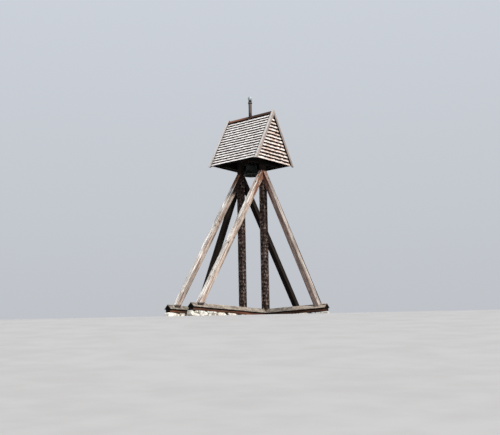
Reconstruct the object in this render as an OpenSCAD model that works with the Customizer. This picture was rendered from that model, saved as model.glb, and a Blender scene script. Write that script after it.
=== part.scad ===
// Open timber bell tower. Two shingled posts stand on crossed sills and are
// held upright by six raking struts. A steep shingled hood covers a bell that
// swings on a headstock between the posts. X runs along the ridge, Y across
// it, and the origin is on the ground under the middle of the tower.

/* [Footing] */
// Height of the footing stones under the sills
stone_h = 262; // [220:1:300]
// Width of the rows of footing stones
stone_w = 420; // [380:5:460]
// How far a row of stones runs on past the weather boards' ends
stone_past = 110; // [60:5:140]

/* [Sills] */
// Width of a sill timber
sill_w = 220; // [200:2:226]
// Height of a sill timber at its sides
sill_side_h = 155; // [140:5:180]
// Height of the saddle on top of a sill
saddle_h = 108; // [90:2:120]
// Thickness of the weather boards on the sills
board_t = 25; // [20:1:30]
// Width covered by a pair of weather boards
cover_w = 340; // [320:2:360]
// Half length of the long sill, weather boards included
long_half = 3574; // [3500:1:3700]
// Half length of the cross sills, weather boards included
cross_half = 4340; // [4250:1:4450]

/* [Posts and struts] */
// Distance from the middle of the tower to the middle of a post
post_x = 589; // [580:1:620]
// Side of a post with its shingles on
post_w = 236; // [226:2:240]
// Side of the bare post inside the hood
core_w = 200; // [190:2:206]
// Side of a square strut
strut_w = 215; // [200:1:218]
// Height above the sill covers where a strut's centre line meets the post's
strut_rise = 5615; // [5560:5:5630]
// Run of a front or back strut, from the post's centre line to its foot
side_run = 3831; // [3700:1:3900]
// Run of an end strut, from the post's centre line to its foot
end_run = 2519; // [2450:1:2600]

/* [Hood] */
// Length of the roof from verge to verge
roof_l = 2510; // [2480:2:2560]
// Width of the roof from eave to eave
roof_w = 2298; // [2280:2:2340]
// Height of the eaves above the sill covers
eave_rise = 5930; // [5915:5:5950]
// Height of the roof from the eaves to where its two slopes meet
roof_h = 2068; // [2040:4:2100]
// Thickness of the roof boards and shingles together
slope_t = 55; // [45:1:60]
// Depth of a rafter across the slope
rafter_d = 100; // [90:2:106]
// Thickness of a gable's boards and shingles together
gable_t = 50; // [44:1:54]
// How far a verge board's face stands in front of the gable
verge_past = 60; // [50:1:70]
// Width of a verge board
verge_w = 96; // [85:1:105]
// Width of the board that lies over a verge board and the roof's edge
edge_w = 100; // [90:2:120]
// Height of the batten that carries it above the shingles
edge_up = 24; // [18:1:30]
// How far the verge and edge boards hang below the eaves
tail = 60; // [40:2:70]
// Thickness of the verge and edge boards
trim_t = 24; // [20:1:26]
// Width of a ridge board along the slope
ridge_w = 80; // [70:2:120]
// Thickness of a ridge board
ridge_t = 20; // [16:1:24]

/* [Spire] */
// Side of the square pole on the ridge
pole_w = 104; // [90:1:110]
// Height of the pole's top above the sill covers
pole_rise = 8566; // [8450:1:8700]
// Height of the turned collar on the pole
collar_h = 129; // [110:1:150]
// Height of the knob at the very top
knob_h = 195; // [180:1:210]

/* [Bell] */
// Radius of the bell's mouth
bell_r = 335; // [325:1:345]
// Height of the bell from its lip to its crown
bell_h = 495; // [485:1:505]
// Height of the bell's lip above the sill covers
lip_rise = 5510; // [5495:1:5525]
// Height of the headstock timber
stock_h = 250; // [230:2:260]
// Depth of the headstock timber
stock_d = 180; // [170:2:190]
// Half length of the headstock timber
stock_half = 400; // [380:2:404]
// Radius of the gudgeon pins that the bell swings on
pin_r = 18; // [16:0.5:20]
// Running clearance round a gudgeon pin
pin_gap = 0.05; // [0.02:0.01:0.1]

/* [Hidden] */
$fn = 72;

// Levels of the base
sill_z = stone_h;
seat_z = sill_z + sill_side_h;
apex_z = seat_z + saddle_h;
saddle_k = saddle_h / (sill_w / 2);
cover_z = apex_z + board_t * sqrt(1 + saddle_k * saddle_k);
lap_z = sill_z + sill_side_h / 2;
post_seat = post_w / 2 + 2;
clad_top = cover_z + strut_rise + 25;

// Levels of the hood. Each plane of the roof is z = top - slope_k * |y|.
eave_z = cover_z + eave_rise;
roof_half = roof_w / 2;
slope_k = roof_h / roof_half;
slope_n = sqrt(1 + slope_k * slope_k);
roof_top = eave_z + roof_h;
deck_top = roof_top - slope_t * slope_n;
rafter_top = deck_top - rafter_d * slope_n;
slab_x = roof_l / 2 - trim_t;
gable_out = roof_l / 2 - verge_past;
gable_in = gable_out - gable_t;
beam_h = 160;
beam_hw = 60;
beam_top = eave_z + floor(deck_top - beam_hw * slope_k - 4 - eave_z);
beam_z = beam_top - beam_h;
plate_in = 830;
plate_out = 930;
plate_z = eave_z + 20;
plate_top = plate_z + 100;
tie_z = plate_z - 100;
pole_z = cover_z + pole_rise;

// Levels of the bell
lip_z = cover_z + lip_rise;
crown_z = lip_z + bell_h;
axis_z = crown_z + stock_h / 2;

// Play left under a board that lies on another piece
lay = 0.4;

// ---------------------------------------------------------------- helpers

// Sweeps an outline drawn in Y and Z along X
module along_x(x0, x1) {
    translate([x0, 0, 0]) rotate([90, 0, 90]) linear_extrude(x1 - x0) children();
}

// A sill with a saddle on top, lying along X
module sill_timber(half) {
    hw = sill_w / 2;
    along_x(-half, half)
        polygon([[-hw, sill_z], [hw, sill_z], [hw, seat_z], [0, apex_z], [-hw, seat_z]]);
}

// A level seat cut through the saddle between two stations along X
module seat(x0, x1) {
    translate([x0, -sill_w, seat_z]) cube([x1 - x0, 2 * sill_w, 2 * saddle_h]);
}

// Outline of a raking strut, in its own plane, plumb cut at the post and
// level cut at z0. grow widens it all round.
module strut_outline(run, z0, grow) {
    k = strut_rise / run;
    n = sqrt(1 + k * k);
    tv = (strut_w / 2 + grow) * n;
    u0 = post_w / 2;
    zc = cover_z + strut_rise;
    polygon([
        [u0, zc - k * u0 - tv], [u0, zc - k * u0 + tv],
        [(zc + tv - z0) / k, z0], [(zc - tv - z0) / k, z0]
    ]);
}

// A strut that leans from a post at the origin towards +X
module strut(run, z0 = seat_z, grow = 0) {
    w = strut_w + 2 * grow;
    translate([0, w / 2, 0]) rotate([90, 0, 0]) linear_extrude(w) strut_outline(run, z0, grow);
}

// Where a strut's lower and upper face pass a level z, seen from its post
function foot_a(run, z = seat_z) = (cover_z + strut_rise - z - strut_w / 2 * sqrt(1 + pow(strut_rise / run, 2))) / (strut_rise / run);
function foot_b(run, z = seat_z) = (cover_z + strut_rise - z + strut_w / 2 * sqrt(1 + pow(strut_rise / run, 2))) / (strut_rise / run);

// The seat of a strut, long enough for its lower face to clear the saddle
module strut_seat(run) {
    seat(foot_a(run, apex_z) - 2, foot_b(run) + 1);
}

// A pair of weather boards laid like a small roof along X
module cover_boards(x0, x1) {
    c = cover_w / 2;
    n = sqrt(1 + saddle_k * saddle_k);
    t = board_t - lay;
    z1 = cover_z - saddle_k * 0.5;
    z2 = cover_z - saddle_k * c;
    for (s = [-1, 1]) along_x(x0, x1) polygon([
        [s * 0.5, z1 - t * n], [s * 0.5, z1], [s * c, z2],
        [s * (c - t * saddle_k / n), z2 - t / n]
    ]);
}

// The weather boards from a post out to a sill's end, mitred beside the post
// and cut round a strut's foot, wider on the foot's outer side
module cover_run(x1, run) {
    p = post_seat;
    c = cover_w / 2 + 6;
    difference() {
        intersection() {
            cover_boards(p, x1);
            linear_extrude(2 * cover_z) polygon([
                [p, -p + 1], [c, -c + 1], [x1, -c], [x1, c], [c, c - 1], [p, p - 1]
            ]);
        }
        for (x = [0, 27]) translate([x, 0, 0]) strut(run, z0 = sill_z, grow = 3);
    }
}

// One footing stone of a row along X
module stone(x0, x1, k) {
    e = x1 - x0;
    h = stone_w / 2;
    a = 0.06 + 0.05 * abs(sin(71 * k));
    b = 0.05 + 0.06 * abs(sin(113 * k + 20));
    linear_extrude(stone_h) polygon([
        [x0, -0.62 * h], [x0 + a * e, -h * (0.9 + 0.05 * sin(50 * k))],
        [x0 + 0.55 * e, -h], [x1 - b * e, -0.9 * h], [x1, -0.55 * h],
        [x1, 0.6 * h], [x1 - a * e, 0.92 * h], [x0 + 0.45 * e, h],
        [x0 + b * e, 0.88 * h], [x0, 0.58 * h]
    ]);
}

// A row of n stones between two stations along X
module stone_row(x0, x1, n, k) {
    pitch = (x1 - x0 + 24) / n;
    for (i = [0 : n - 1]) stone(x0 + i * pitch, x0 + (i + 1) * pitch - 24, k + i);
}

// Band of the front slope between two depths below its surface, from the
// eave up to the ridge. The eave end is cut square to the slope, back mm
// short of the eave, and the top is cut plumb at y = -ridge_gap.
module slope_band(d0, d1, back = 0, ridge_gap = 0) {
    c = 1 / slope_n;
    s = slope_k / slope_n;
    ey = roof_half - back * c;
    ez = eave_z + back * s;
    polygon([
        [-(ey - d0 * s), ez - d0 * c],
        [-ridge_gap, roof_top - d0 * slope_n - slope_k * ridge_gap],
        [-ridge_gap, roof_top - d1 * slope_n - slope_k * ridge_gap],
        [-(ey - d1 * s), ez - d1 * c]
    ]);
}

// Band of the front slope between two depths, plumb cut gap mm before the
// ridge and cut level at z at its lower end
module level_band(d0, d1, z, gap = 0.5) {
    function out(d, z) = (roof_top - d * slope_n - z) / slope_k;
    polygon([
        [-gap, roof_top - d0 * slope_n - slope_k * gap], [-gap, roof_top - d1 * slope_n - slope_k * gap],
        [-out(d1, z), z], [-out(d0, z), z]
    ]);
}

// Room for the spire's pole through the roof
module pole_room() {
    w = pole_w + 4;
    translate([-w / 2, -w / 2, beam_top - 50]) cube([w, w, 1000]);
}

// ------------------------------------------------------------- the base

module long_sill() {
    hw = sill_w / 2;
    color([0.42, 0.30, 0.23]) difference() {
        sill_timber(long_half - 20);
        for (s = [-1, 1]) {
            translate([s * post_x - hw, -sill_w, sill_z - 10])
                cube([sill_w, 2 * sill_w, lap_z - sill_z + 10]);
            seat(s * post_x - post_seat, s * post_x + post_seat);
        }
        translate([post_x, 0, 0]) strut_seat(end_run);
        mirror([1, 0, 0]) translate([post_x, 0, 0]) strut_seat(end_run);
    }
}

module cross_sill(s) {
    hw = sill_w / 2;
    color([0.42, 0.30, 0.23]) translate([s * post_x, 0, 0]) rotate([0, 0, 90]) difference() {
        sill_timber(cross_half - 20);
        translate([-hw, -sill_w, lap_z]) cube([sill_w, 2 * sill_w, 2 * sill_w]);
        seat(-post_seat, post_seat);
        strut_seat(side_run);
        mirror([1, 0, 0]) strut_seat(side_run);
    }
}

module long_sill_weather_boards() {
    p = post_seat;
    c = cover_w / 2 + 6;
    color([0.62, 0.61, 0.56]) {
        intersection() {
            cover_boards(-post_x + p, post_x - p);
            linear_extrude(2 * cover_z) polygon([
                [-post_x + p, -p + 1], [-post_x + c, -c + 1], [post_x - c, -c + 1], [post_x - p, -p + 1],
                [post_x - p, p - 1], [post_x - c, c - 1], [-post_x + c, c - 1], [-post_x + p, p - 1]
            ]);
        }
        translate([post_x, 0, 0]) cover_run(long_half - post_x, end_run);
        mirror([1, 0, 0]) translate([post_x, 0, 0]) cover_run(long_half - post_x, end_run);
    }
}

module cross_sill_weather_boards(s) {
    color([0.62, 0.61, 0.56]) translate([s * post_x, 0, 0]) {
        rotate([0, 0, 90]) cover_run(cross_half, side_run);
        rotate([0, 0, -90]) cover_run(cross_half, side_run);
    }
}

module long_sill_footing_stones() {
    x0 = post_x + stone_w / 2 + 25;
    color([0.68, 0.65, 0.60]) {
        stone(-post_x + stone_w / 2 + 29, post_x - stone_w / 2 - 29, 3);
        stone_row(x0, long_half + stone_past - 34, 4, 5);
        rotate([0, 0, 180]) stone_row(x0, long_half + stone_past - 34, 4, 11);
    }
}

module cross_sill_footing_stones(s) {
    color([0.68, 0.65, 0.60]) translate([s * post_x, 0, 0]) rotate([0, 0, 90]) {
        stone(-250, 250, 2);
        stone_row(274, cross_half + stone_past, 6, 20 + s);
        rotate([0, 0, 180]) stone_row(274, cross_half + stone_past, 6, 30 + s);
    }
}

// ------------------------------------------------------ posts and struts

module post(s) {
    color([0.23, 0.18, 0.16]) translate([s * post_x, 0, 0]) {
        translate([-post_w / 2, -post_w / 2, seat_z]) cube([post_w, post_w, clad_top - seat_z]);
        translate([-core_w / 2, -core_w / 2, clad_top]) cube([core_w, core_w, beam_z - clad_top]);
    }
}

module side_strut(s, turn) {
    color([0.66, 0.62, 0.58]) translate([s * post_x, 0, 0]) rotate([0, 0, turn]) strut(side_run);
}

module end_strut(turn) {
    color([0.66, 0.62, 0.58]) rotate([0, 0, turn]) translate([post_x, 0, 0]) strut(end_run);
}

// ------------------------------------------------------------- the hood

module tie_beam(s) {
    w = 110;
    x0 = post_x + core_w / 2;
    color([0.30, 0.22, 0.17]) scale([s, 1, 1])
        translate([x0, -900, tie_z]) cube([w, 1800, plate_z - tie_z]);
}

module wall_plate(s) {
    color([0.32, 0.24, 0.18]) scale([1, s, 1])
        translate([-gable_in, plate_in, plate_z]) cube([2 * gable_in, plate_out - plate_in, plate_top - plate_z]);
}

module gable_rail(s) {
    w = 90;
    color([0.32, 0.24, 0.18]) scale([s, 1, 1])
        translate([gable_in - w, -plate_in, plate_z]) cube([w, 2 * plate_in, plate_top - plate_z]);
}

module ridge_beam() {
    color([0.32, 0.24, 0.18])
        translate([-gable_in, -beam_hw, beam_z]) cube([2 * gable_in, 2 * beam_hw, beam_h]);
}

// Three pairs, notched over the wall plates and butted on the ridge beam
module rafters() {
    w = 90;
    color([0.34, 0.25, 0.19]) for (turn = [0, 180], x = [-gable_in + w / 2, 0, gable_in - w / 2])
        rotate([0, 0, turn]) difference() {
            along_x(x - w / 2, x + w / 2) slope_band(slope_t + lay, slope_t + rafter_d, 45, beam_hw);
            translate([x - w, -plate_out, plate_z - 200]) cube([2 * w, plate_out - plate_in, plate_top - plate_z + 200]);
        }
}

module roof_slope(turn) {
    color([0.66, 0.64, 0.62]) rotate([0, 0, turn]) difference() {
        along_x(-slab_x, slab_x) slope_band(0, slope_t);
        pole_room();
    }
}

module gable(s) {
    z0 = eave_z - 18;
    z1 = deck_top - lay * slope_n;
    h = (z1 - z0) / slope_k;
    color([0.62, 0.47, 0.37]) scale([s, 1, 1])
        along_x(gable_in, gable_out) polygon([[-h, z0], [h, z0], [0, z1]]);
}

// The verge boards cover the ends of the roof's boards and shingles and stand
// a little above them
module verge_boards(s) {
    a = slab_x;
    b = roof_l / 2;
    color([0.70, 0.68, 0.64]) for (turn = [0, 180]) rotate([0, 0, turn])
        along_x(s > 0 == (turn == 0) ? a : -b, s > 0 == (turn == 0) ? b : -a)
            level_band(lay - edge_up, verge_w - edge_up, eave_z - tail);
}

// An edge board at each end of a slope, each with the batten under it
module edge_boards(turn) {
    a = roof_l / 2 - edge_w;
    color([0.72, 0.70, 0.66]) rotate([0, 0, turn]) for (s = [-1, 1]) {
        along_x(s > 0 ? a : -roof_l / 2, s > 0 ? roof_l / 2 : -a)
            level_band(-edge_up - trim_t, -edge_up, eave_z - tail);
        along_x(s > 0 ? slab_x - 36 : 2 - slab_x, s > 0 ? slab_x - 2 : 36 - slab_x)
            level_band(-edge_up - 1, -lay, eave_z);
    }
}

// A point of the front slope, u down the slope from the ridge and d below it
function on_slope(u, d) = [(d * slope_k - u) / slope_n, roof_top - (u * slope_k + d) / slope_n];

// Lies between the edge boards
module ridge_board(turn) {
    x = roof_l / 2 - edge_w - 3;
    color([0.55, 0.38, 0.27]) rotate([0, 0, turn]) difference() {
        along_x(-x, x) polygon([
            [0, roof_top + lay * slope_n], [0, roof_top + ridge_t * slope_n],
            on_slope(ridge_w, -ridge_t), on_slope(ridge_w, -lay)
        ]);
        pole_room();
    }
}

// ------------------------------------------------------------ the spire

module spire_pole() {
    color([0.48, 0.46, 0.43])
        translate([-pole_w / 2, -pole_w / 2, beam_top]) cube([pole_w, pole_w, pole_z - beam_top]);
}

module spire_collar() {
    color([0.36, 0.35, 0.33]) translate([0, 0, pole_z]) rotate_extrude() polygon([
        [0, 0], [72, 0], [80, 12], [86, 26], [86, 56], [80, 68], [70, 74],
        [68, 80], [68, collar_h - 6], [72, collar_h], [0, collar_h]
    ]);
}

module spire_knob() {
    color([0.70, 0.72, 0.70]) translate([0, 0, pole_z + collar_h]) rotate_extrude()
        polygon(concat([[0, 0]], [for (a = [-72 : 6 : 84]) [90 * cos(a), knob_h / 2 + (knob_h / 2) / sin(72) * sin(a) * (a < 0 ? 1 : sin(72))]], [[0, knob_h]]));
}

// ------------------------------------------------------------- the bell

// The bell is turned round its own axis: an outer face that flares to the
// lip, and an inner face that leaves a thick bow above the lip
module bell() {
    f = bell_r / 292;
    g = bell_h / 430;
    color([0.36, 0.40, 0.34]) translate([0, 0, lip_z]) rotate_extrude($fn = 96) polygon([
        for (p = [
            [292, 0], [291, 12], [283, 34], [266, 64], [247, 98], [230, 134],
            [215, 176], [203, 222], [194, 270], [187, 318], [181, 352],
            [170, 384], [153, 410], [136, 426], [130, 430], [0, 430],
            [0, 404], [60, 402], [112, 393], [137, 377], [154, 350],
            [165, 312], [173, 265], [182, 215], [193, 165], [206, 120],
            [221, 80], [236, 48], [256, 18], [276, 0]
        ]) [p[0] * f, p[1] * g]
    ]);
}

module bell_clapper() {
    f = bell_r / 292;
    g = bell_h / 430;
    color([0.20, 0.18, 0.17]) translate([0, 0, lip_z]) rotate_extrude($fn = 48) polygon([
        for (p = [
            [0, 404], [26, 403.1], [26, 392], [11, 384], [10, 200], [14, 108],
            [30, 92], [38, 70], [36, 48], [22, 32], [14, 24], [12, 6], [0, 4]
        ]) [p[0] * f, p[1] * g]
    ]);
}

module bell_headstock() {
    color([0.42, 0.38, 0.34]) translate([-stock_half, -stock_d / 2, crown_z])
        cube([2 * stock_half, stock_d, stock_h]);
}

// Two iron straps over the headstock, standing on the bell's crown
module headstock_straps() {
    t = 8;
    w = 36;
    color([0.20, 0.19, 0.18]) for (x = [-60, 60]) difference() {
        translate([x - w / 2, -stock_d / 2 - t, crown_z]) cube([w, stock_d + 2 * t, stock_h + t]);
        translate([x - w, -stock_d / 2, crown_z - 10]) cube([2 * w, stock_d, stock_h + 10]);
    }
}

// An iron plate and a pin on each end of the headstock
module headstock_gudgeons() {
    t = 12;
    color([0.22, 0.20, 0.19]) for (turn = [0, 180]) rotate([0, 0, turn]) {
        translate([stock_half, -50, axis_z - 60]) cube([t, 100, 120]);
        translate([stock_half + t, 0, axis_z]) rotate([0, 90, 0])
            cylinder(r = pin_r, h = post_x - core_w / 2 - stock_half - t - 5);
    }
}

// Iron block on the post's inner face that carries a gudgeon pin
module bearing(s) {
    t = 50;
    x0 = post_x - core_w / 2 - t;
    color([0.24, 0.21, 0.19]) rotate([0, 0, s > 0 ? 0 : 180]) difference() {
        translate([x0, -55, axis_z - 80]) cube([t, 110, 130]);
        translate([x0 - 5, 0, axis_z]) rotate([0, 90, 0]) cylinder(r = pin_r + pin_gap, h = t + 10);
    }
}

// ------------------------------------------------------------- assembly

long_sill();
cross_sill(-1);  // left_cross_sill
cross_sill(1);  // right_cross_sill
long_sill_weather_boards();
cross_sill_weather_boards(-1);  // left_sill_weather_boards
cross_sill_weather_boards(1);  // right_sill_weather_boards
long_sill_footing_stones();
cross_sill_footing_stones(-1);  // left_sill_footing_stones
cross_sill_footing_stones(1);  // right_sill_footing_stones
post(-1);  // left_post
post(1);  // right_post
side_strut(-1, -90);  // front_left_strut
side_strut(1, -90);  // front_right_strut
side_strut(-1, 90);  // back_left_strut
side_strut(1, 90);  // back_right_strut
end_strut(180);  // left_end_strut
end_strut(0);  // right_end_strut
tie_beam(-1);  // left_tie_beam
tie_beam(1);  // right_tie_beam
wall_plate(-1);  // front_wall_plate
wall_plate(1);  // back_wall_plate
gable_rail(-1);  // left_gable_rail
gable_rail(1);  // right_gable_rail
ridge_beam();
rafters();
roof_slope(0);  // front_roof_slope
roof_slope(180);  // back_roof_slope
gable(-1);  // left_gable
gable(1);  // right_gable
verge_boards(-1);  // left_verge_boards
verge_boards(1);  // right_verge_boards
edge_boards(0);  // front_edge_boards
edge_boards(180);  // back_edge_boards
ridge_board(0);  // front_ridge_board
ridge_board(180);  // back_ridge_board
spire_pole();
spire_collar();
spire_knob();
bell();
bell_clapper();
bell_headstock();
headstock_straps();
headstock_gudgeons();
bearing(-1);  // left_bearing
bearing(1);  // right_bearing
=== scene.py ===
import math
import random

import bpy
import numpy as np
from mathutils import Matrix, Vector


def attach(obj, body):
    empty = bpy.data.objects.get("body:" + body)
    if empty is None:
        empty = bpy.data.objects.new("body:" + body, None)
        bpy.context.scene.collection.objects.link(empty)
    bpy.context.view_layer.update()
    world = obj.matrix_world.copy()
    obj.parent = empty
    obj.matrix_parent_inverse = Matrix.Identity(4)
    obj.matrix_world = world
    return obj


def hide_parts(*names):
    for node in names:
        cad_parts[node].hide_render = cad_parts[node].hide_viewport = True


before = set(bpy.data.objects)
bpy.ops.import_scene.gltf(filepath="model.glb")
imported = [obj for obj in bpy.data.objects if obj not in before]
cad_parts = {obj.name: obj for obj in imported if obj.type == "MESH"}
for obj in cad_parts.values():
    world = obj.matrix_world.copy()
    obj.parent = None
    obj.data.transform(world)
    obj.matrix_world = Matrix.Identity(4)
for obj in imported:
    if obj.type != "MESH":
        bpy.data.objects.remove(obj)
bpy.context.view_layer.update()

# ------------------------------------------------------------------ the sizes, in metres

SILL_Z, SEAT_Z, APEX_Z = 0.262, 0.417, 0.525
SILL_HW = 0.110
SADDLE_K = 0.108 / 0.110
SADDLE_N = math.hypot(1, SADDLE_K)
BOARD_T, LAY = 0.025, 0.0004
COVER_Z = APEX_Z + BOARD_T * SADDLE_N
COVER_HW = 0.170
LAP_Z = 0.3395
LONG_HALF, CROSS_HALF = 3.574, 4.340
POST_X, POST_HW, CORE_HW = 0.589, 0.118, 0.100
POST_SEAT = POST_HW + 0.002
STRUT_HW = 0.1075
RISE, SIDE_RUN, END_RUN = 5.615, 3.831, 2.519
CLAD_TOP = COVER_Z + RISE + 0.025
EAVE_Z = COVER_Z + 5.930
ROOF_HALF, ROOF_H = 1.149, 2.068
SLOPE_K = ROOF_H / ROOF_HALF
SLOPE_N = math.hypot(1, SLOPE_K)
C, S = 1 / SLOPE_N, SLOPE_K / SLOPE_N
ROOF_TOP = EAVE_Z + ROOF_H
SLOPE_L = ROOF_HALF * SLOPE_N
SLOPE_T, RAFTER_D = 0.055, 0.100
DECK_TOP = ROOF_TOP - SLOPE_T * SLOPE_N
VERGE_X, SLAB_X, GABLE_OUT, GABLE_IN = 1.255, 1.231, 1.195, 1.145
VERGE_W, EDGE_W, EDGE_UP, TRIM_T, TAIL = 0.096, 0.100, 0.024, 0.024, 0.060
RIDGE_X, RIDGE_W, RIDGE_T = VERGE_X - EDGE_W - 0.003, 0.080, 0.020
BEAM_HW, BEAM_H = 0.060, 0.160
BEAM_TOP = EAVE_Z + math.floor((DECK_TOP - BEAM_HW * SLOPE_K - 0.004 - EAVE_Z) * 1000) / 1000
BEAM_Z = BEAM_TOP - BEAM_H
PLATE_IN, PLATE_OUT = 0.830, 0.930
PLATE_Z = EAVE_Z + 0.020
PLATE_TOP = PLATE_Z + 0.100
TIE_Z = PLATE_Z - 0.100
POLE_HW, POLE_Z = 0.052, COVER_Z + 8.566
COLLAR_H, KNOB_H = 0.129, 0.195
LIP_Z = COVER_Z + 5.510
BELL_R, BELL_H = 0.335, 0.495
CROWN_Z = LIP_Z + BELL_H
STOCK_H, STOCK_HW, STOCK_HALF = 0.250, 0.090, 0.400
AXIS_Z = CROWN_Z + STOCK_H / 2
PIN_R = 0.018

rnd = random.Random(4711)

# ------------------------------------------------------------------ small tools


def lattice(p, seed=0):
    """Smooth noise from -1 to 1 at the rows of p."""
    p = np.asarray(p, float)
    i = np.floor(p).astype(np.int64)
    f = p - i
    f = f * f * (3 - 2 * f)

    def corner(dx, dy, dz):
        n = (i[:, 0] + dx) * 73856093 ^ (i[:, 1] + dy) * 19349663 ^ (i[:, 2] + dz) * 83492791 ^ (seed * 40503 + 977)
        n = (n ^ (n >> 13)) & 0x7FFFFFFF
        n = (n * 1274126177) & 0x7FFFFFFF
        n = (n ^ (n >> 15)) & 0xFFFF
        return n / 32767.5 - 1.0

    out = np.zeros(len(p))
    for dx in (0, 1):
        wx = f[:, 0] if dx else 1 - f[:, 0]
        for dy in (0, 1):
            wy = f[:, 1] if dy else 1 - f[:, 1]
            for dz in (0, 1):
                wz = f[:, 2] if dz else 1 - f[:, 2]
                out += wx * wy * wz * corner(dx, dy, dz)
    return out


def octaves(p, seed=0, n=3):
    p = np.asarray(p, float)
    out, amp = np.zeros(len(p)), 1.0
    for k in range(n):
        out += amp * lattice(p * 2.03**k, seed + 17 * k)
        amp *= 0.5
    return out / 1.75


def unit(v):
    v = np.asarray(v, float)
    return v / np.linalg.norm(v)


class Pile:
    """Loose pieces gathered into one mesh. Each vertex keeps its place in its own piece's wood (along, across and
    through the grain, in metres) and three numbers of its piece. ends marks the faces cut across the grain, and the
    faces that the materials darken as painted shade: shingle butts and the bell's inside."""

    def __init__(self):
        self.co, self.grain, self.tone, self.faces, self.smooth, self.mats, self.ends, self.n = [], [], [], [], [], [], [], 0

    def put(self, co, faces, grain, tone, smooth=False, mat=0, ends=None):
        co = np.asarray(co, float)
        self.co.append(co)
        self.grain.append(np.broadcast_to(np.asarray(grain, float), co.shape))
        self.tone.append(np.broadcast_to(np.asarray(tone, float), co.shape))
        self.faces += [tuple(int(i) + self.n for i in f) for f in faces]
        self.smooth += [smooth] * len(faces)
        self.mats += [mat] * len(faces)
        self.ends += [0.0] * len(faces) if ends is None else list(ends)
        self.n += len(co)

    def make(self, name, mats, replaces=(), body="tower", sharp=34):
        me = bpy.data.meshes.new(name)
        me.from_pydata(np.concatenate(self.co).tolist(), [], self.faces)
        me.polygons.foreach_set("use_smooth", self.smooth)
        me.polygons.foreach_set("material_index", self.mats)
        for label, data in (("grain", self.grain), ("tone", self.tone)):
            a = me.attributes.new(label, "FLOAT_VECTOR", "POINT")
            a.data.foreach_set("vector", np.concatenate(data).astype(np.float32).ravel())
        a = me.attributes.new("cut", "FLOAT", "FACE")
        a.data.foreach_set("value", self.ends)
        for m in mats if isinstance(mats, (list, tuple)) else [mats]:
            me.materials.append(m)
        me.update()
        me.set_sharp_from_angle(angle=math.radians(sharp))
        o = bpy.data.objects.new(name, me)
        bpy.context.scene.collection.objects.link(o)
        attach(o, body)
        if replaces:
            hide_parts(*replaces)
        return o


def offset():
    """A place of its own in the wood for each piece."""
    return np.array([rnd.uniform(0, 40), rnd.uniform(0, 9), rnd.uniform(0, 9)])


def square(hb, hc, r, nb=3, nc=3, corner=3, middle=(0.0, 0.0)):
    """A rectangle with round corners, counter-clockwise, with nb and nc inner points on its sides."""
    pts = []
    centres = [(hb - r, -(hc - r), -90), (hb - r, hc - r, 0), (-(hb - r), hc - r, 90), (-(hb - r), -(hc - r), 180)]
    for q, (cb, cc, a0) in enumerate(centres):
        for k in range(corner + 1):
            a = math.radians(a0 + 90 * k / corner)
            pts.append((cb + r * math.cos(a), cc + r * math.sin(a)))
        nxt = centres[(q + 1) % 4]
        a1 = math.radians(nxt[2])
        start, end = pts[-1], (nxt[0] + r * math.cos(a1), nxt[1] + r * math.sin(a1))
        n = nc if q % 2 == 0 else nb
        for k in range(1, n + 1):
            f = k / (n + 1)
            pts.append((start[0] + (end[0] - start[0]) * f, start[1] + (end[1] - start[1]) * f))
    return np.array(pts) + np.array(middle)


def timber(pile, o, l, w, sect, a0, a1, stations, tone, arris=0.0, hew=0.0, seed=0, smooth=True, mat=0, caps=True, off=None):
    """A length of timber along l from a0 to a1. sect is its section across w and l x w, or a function of the share of
    the length that gives it. a0 and a1 are numbers or functions of the section's points, for raking cuts. hew is how
    deep the tool marks go, always into the wood."""
    o, l, w = np.asarray(o, float), unit(l), unit(w)
    t = np.cross(l, w)
    off = offset() if off is None else off
    fracs = np.asarray(stations if hasattr(stations, "__len__") else np.linspace(0, 1, stations + 1), float)
    f0 = a0 if callable(a0) else (lambda b, c: np.full(len(b), float(a0)))
    f1 = a1 if callable(a1) else (lambda b, c: np.full(len(b), float(a1)))
    get = sect if callable(sect) else (lambda s: sect)
    rings = []
    first = np.asarray(get(0.0), float)
    length = float(np.mean(f1(first[:, 0], first[:, 1]) - f0(first[:, 0], first[:, 1])))
    plan = [(s, 0.0) for s in fracs]
    if arris > 0:
        e = arris / max(length, 1e-6)
        plan = [(0.0, arris), (e, 0.0)] + [(s, 0.0) for s in fracs if 1.5 * e < s < 1 - 1.5 * e] + [(1 - e, 0.0), (1.0, arris)]
    for s, inset in plan:
        p = np.array(get(s), float)
        if inset:
            mid = p.mean(0)
            d = p - mid
            p = mid + d * (1 - inset / np.maximum(np.linalg.norm(d, axis=1), 1e-6))[:, None]
        rings.append((s, p))
    n = len(rings[0][1])
    bc = np.concatenate([p for _, p in rings])
    ss = np.repeat([s for s, _ in rings], n)
    lo, hi = f0(bc[:, 0], bc[:, 1]), f1(bc[:, 0], bc[:, 1])
    a = lo + (hi - lo) * ss
    if hew > 0:
        mids = np.repeat(np.array([p.mean(0) for _, p in rings]), n, axis=0)
        q = np.column_stack([a * 3.1, bc[:, 0] * 9, bc[:, 1] * 9]) + off
        q2 = np.column_stack([a * 11.0, bc[:, 0] * 16, bc[:, 1] * 16]) + off + 5
        depth = hew * (0.5 + 0.36 * octaves(q, seed, 2) + 0.30 * lattice(q2, seed + 3))
        d = bc - mids
        size = np.maximum(np.abs(d).max(1), 1e-6)
        bc = bc - d / size[:, None] * np.clip(depth, 0, 2 * hew)[:, None]
        lo, hi = f0(bc[:, 0], bc[:, 1]), f1(bc[:, 0], bc[:, 1])
        a = lo + (hi - lo) * ss
    co = o + a[:, None] * l + bc[:, :1] * w + bc[:, 1:] * t
    grain = np.column_stack([a, bc]) + off
    faces = []
    for k in range(len(rings) - 1):
        for i in range(n):
            j = (i + 1) % n
            faces.append((k * n + i, k * n + j, (k + 1) * n + j, (k + 1) * n + i))
    ends = [0.0] * len(faces)
    if caps:
        faces.append(tuple(reversed(range(n))))
        faces.append(tuple(range((len(rings) - 1) * n, len(rings) * n)))
        ends += [1.0, 1.0]
    pile.put(co, faces, grain, tone, smooth, mat, ends)


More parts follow.
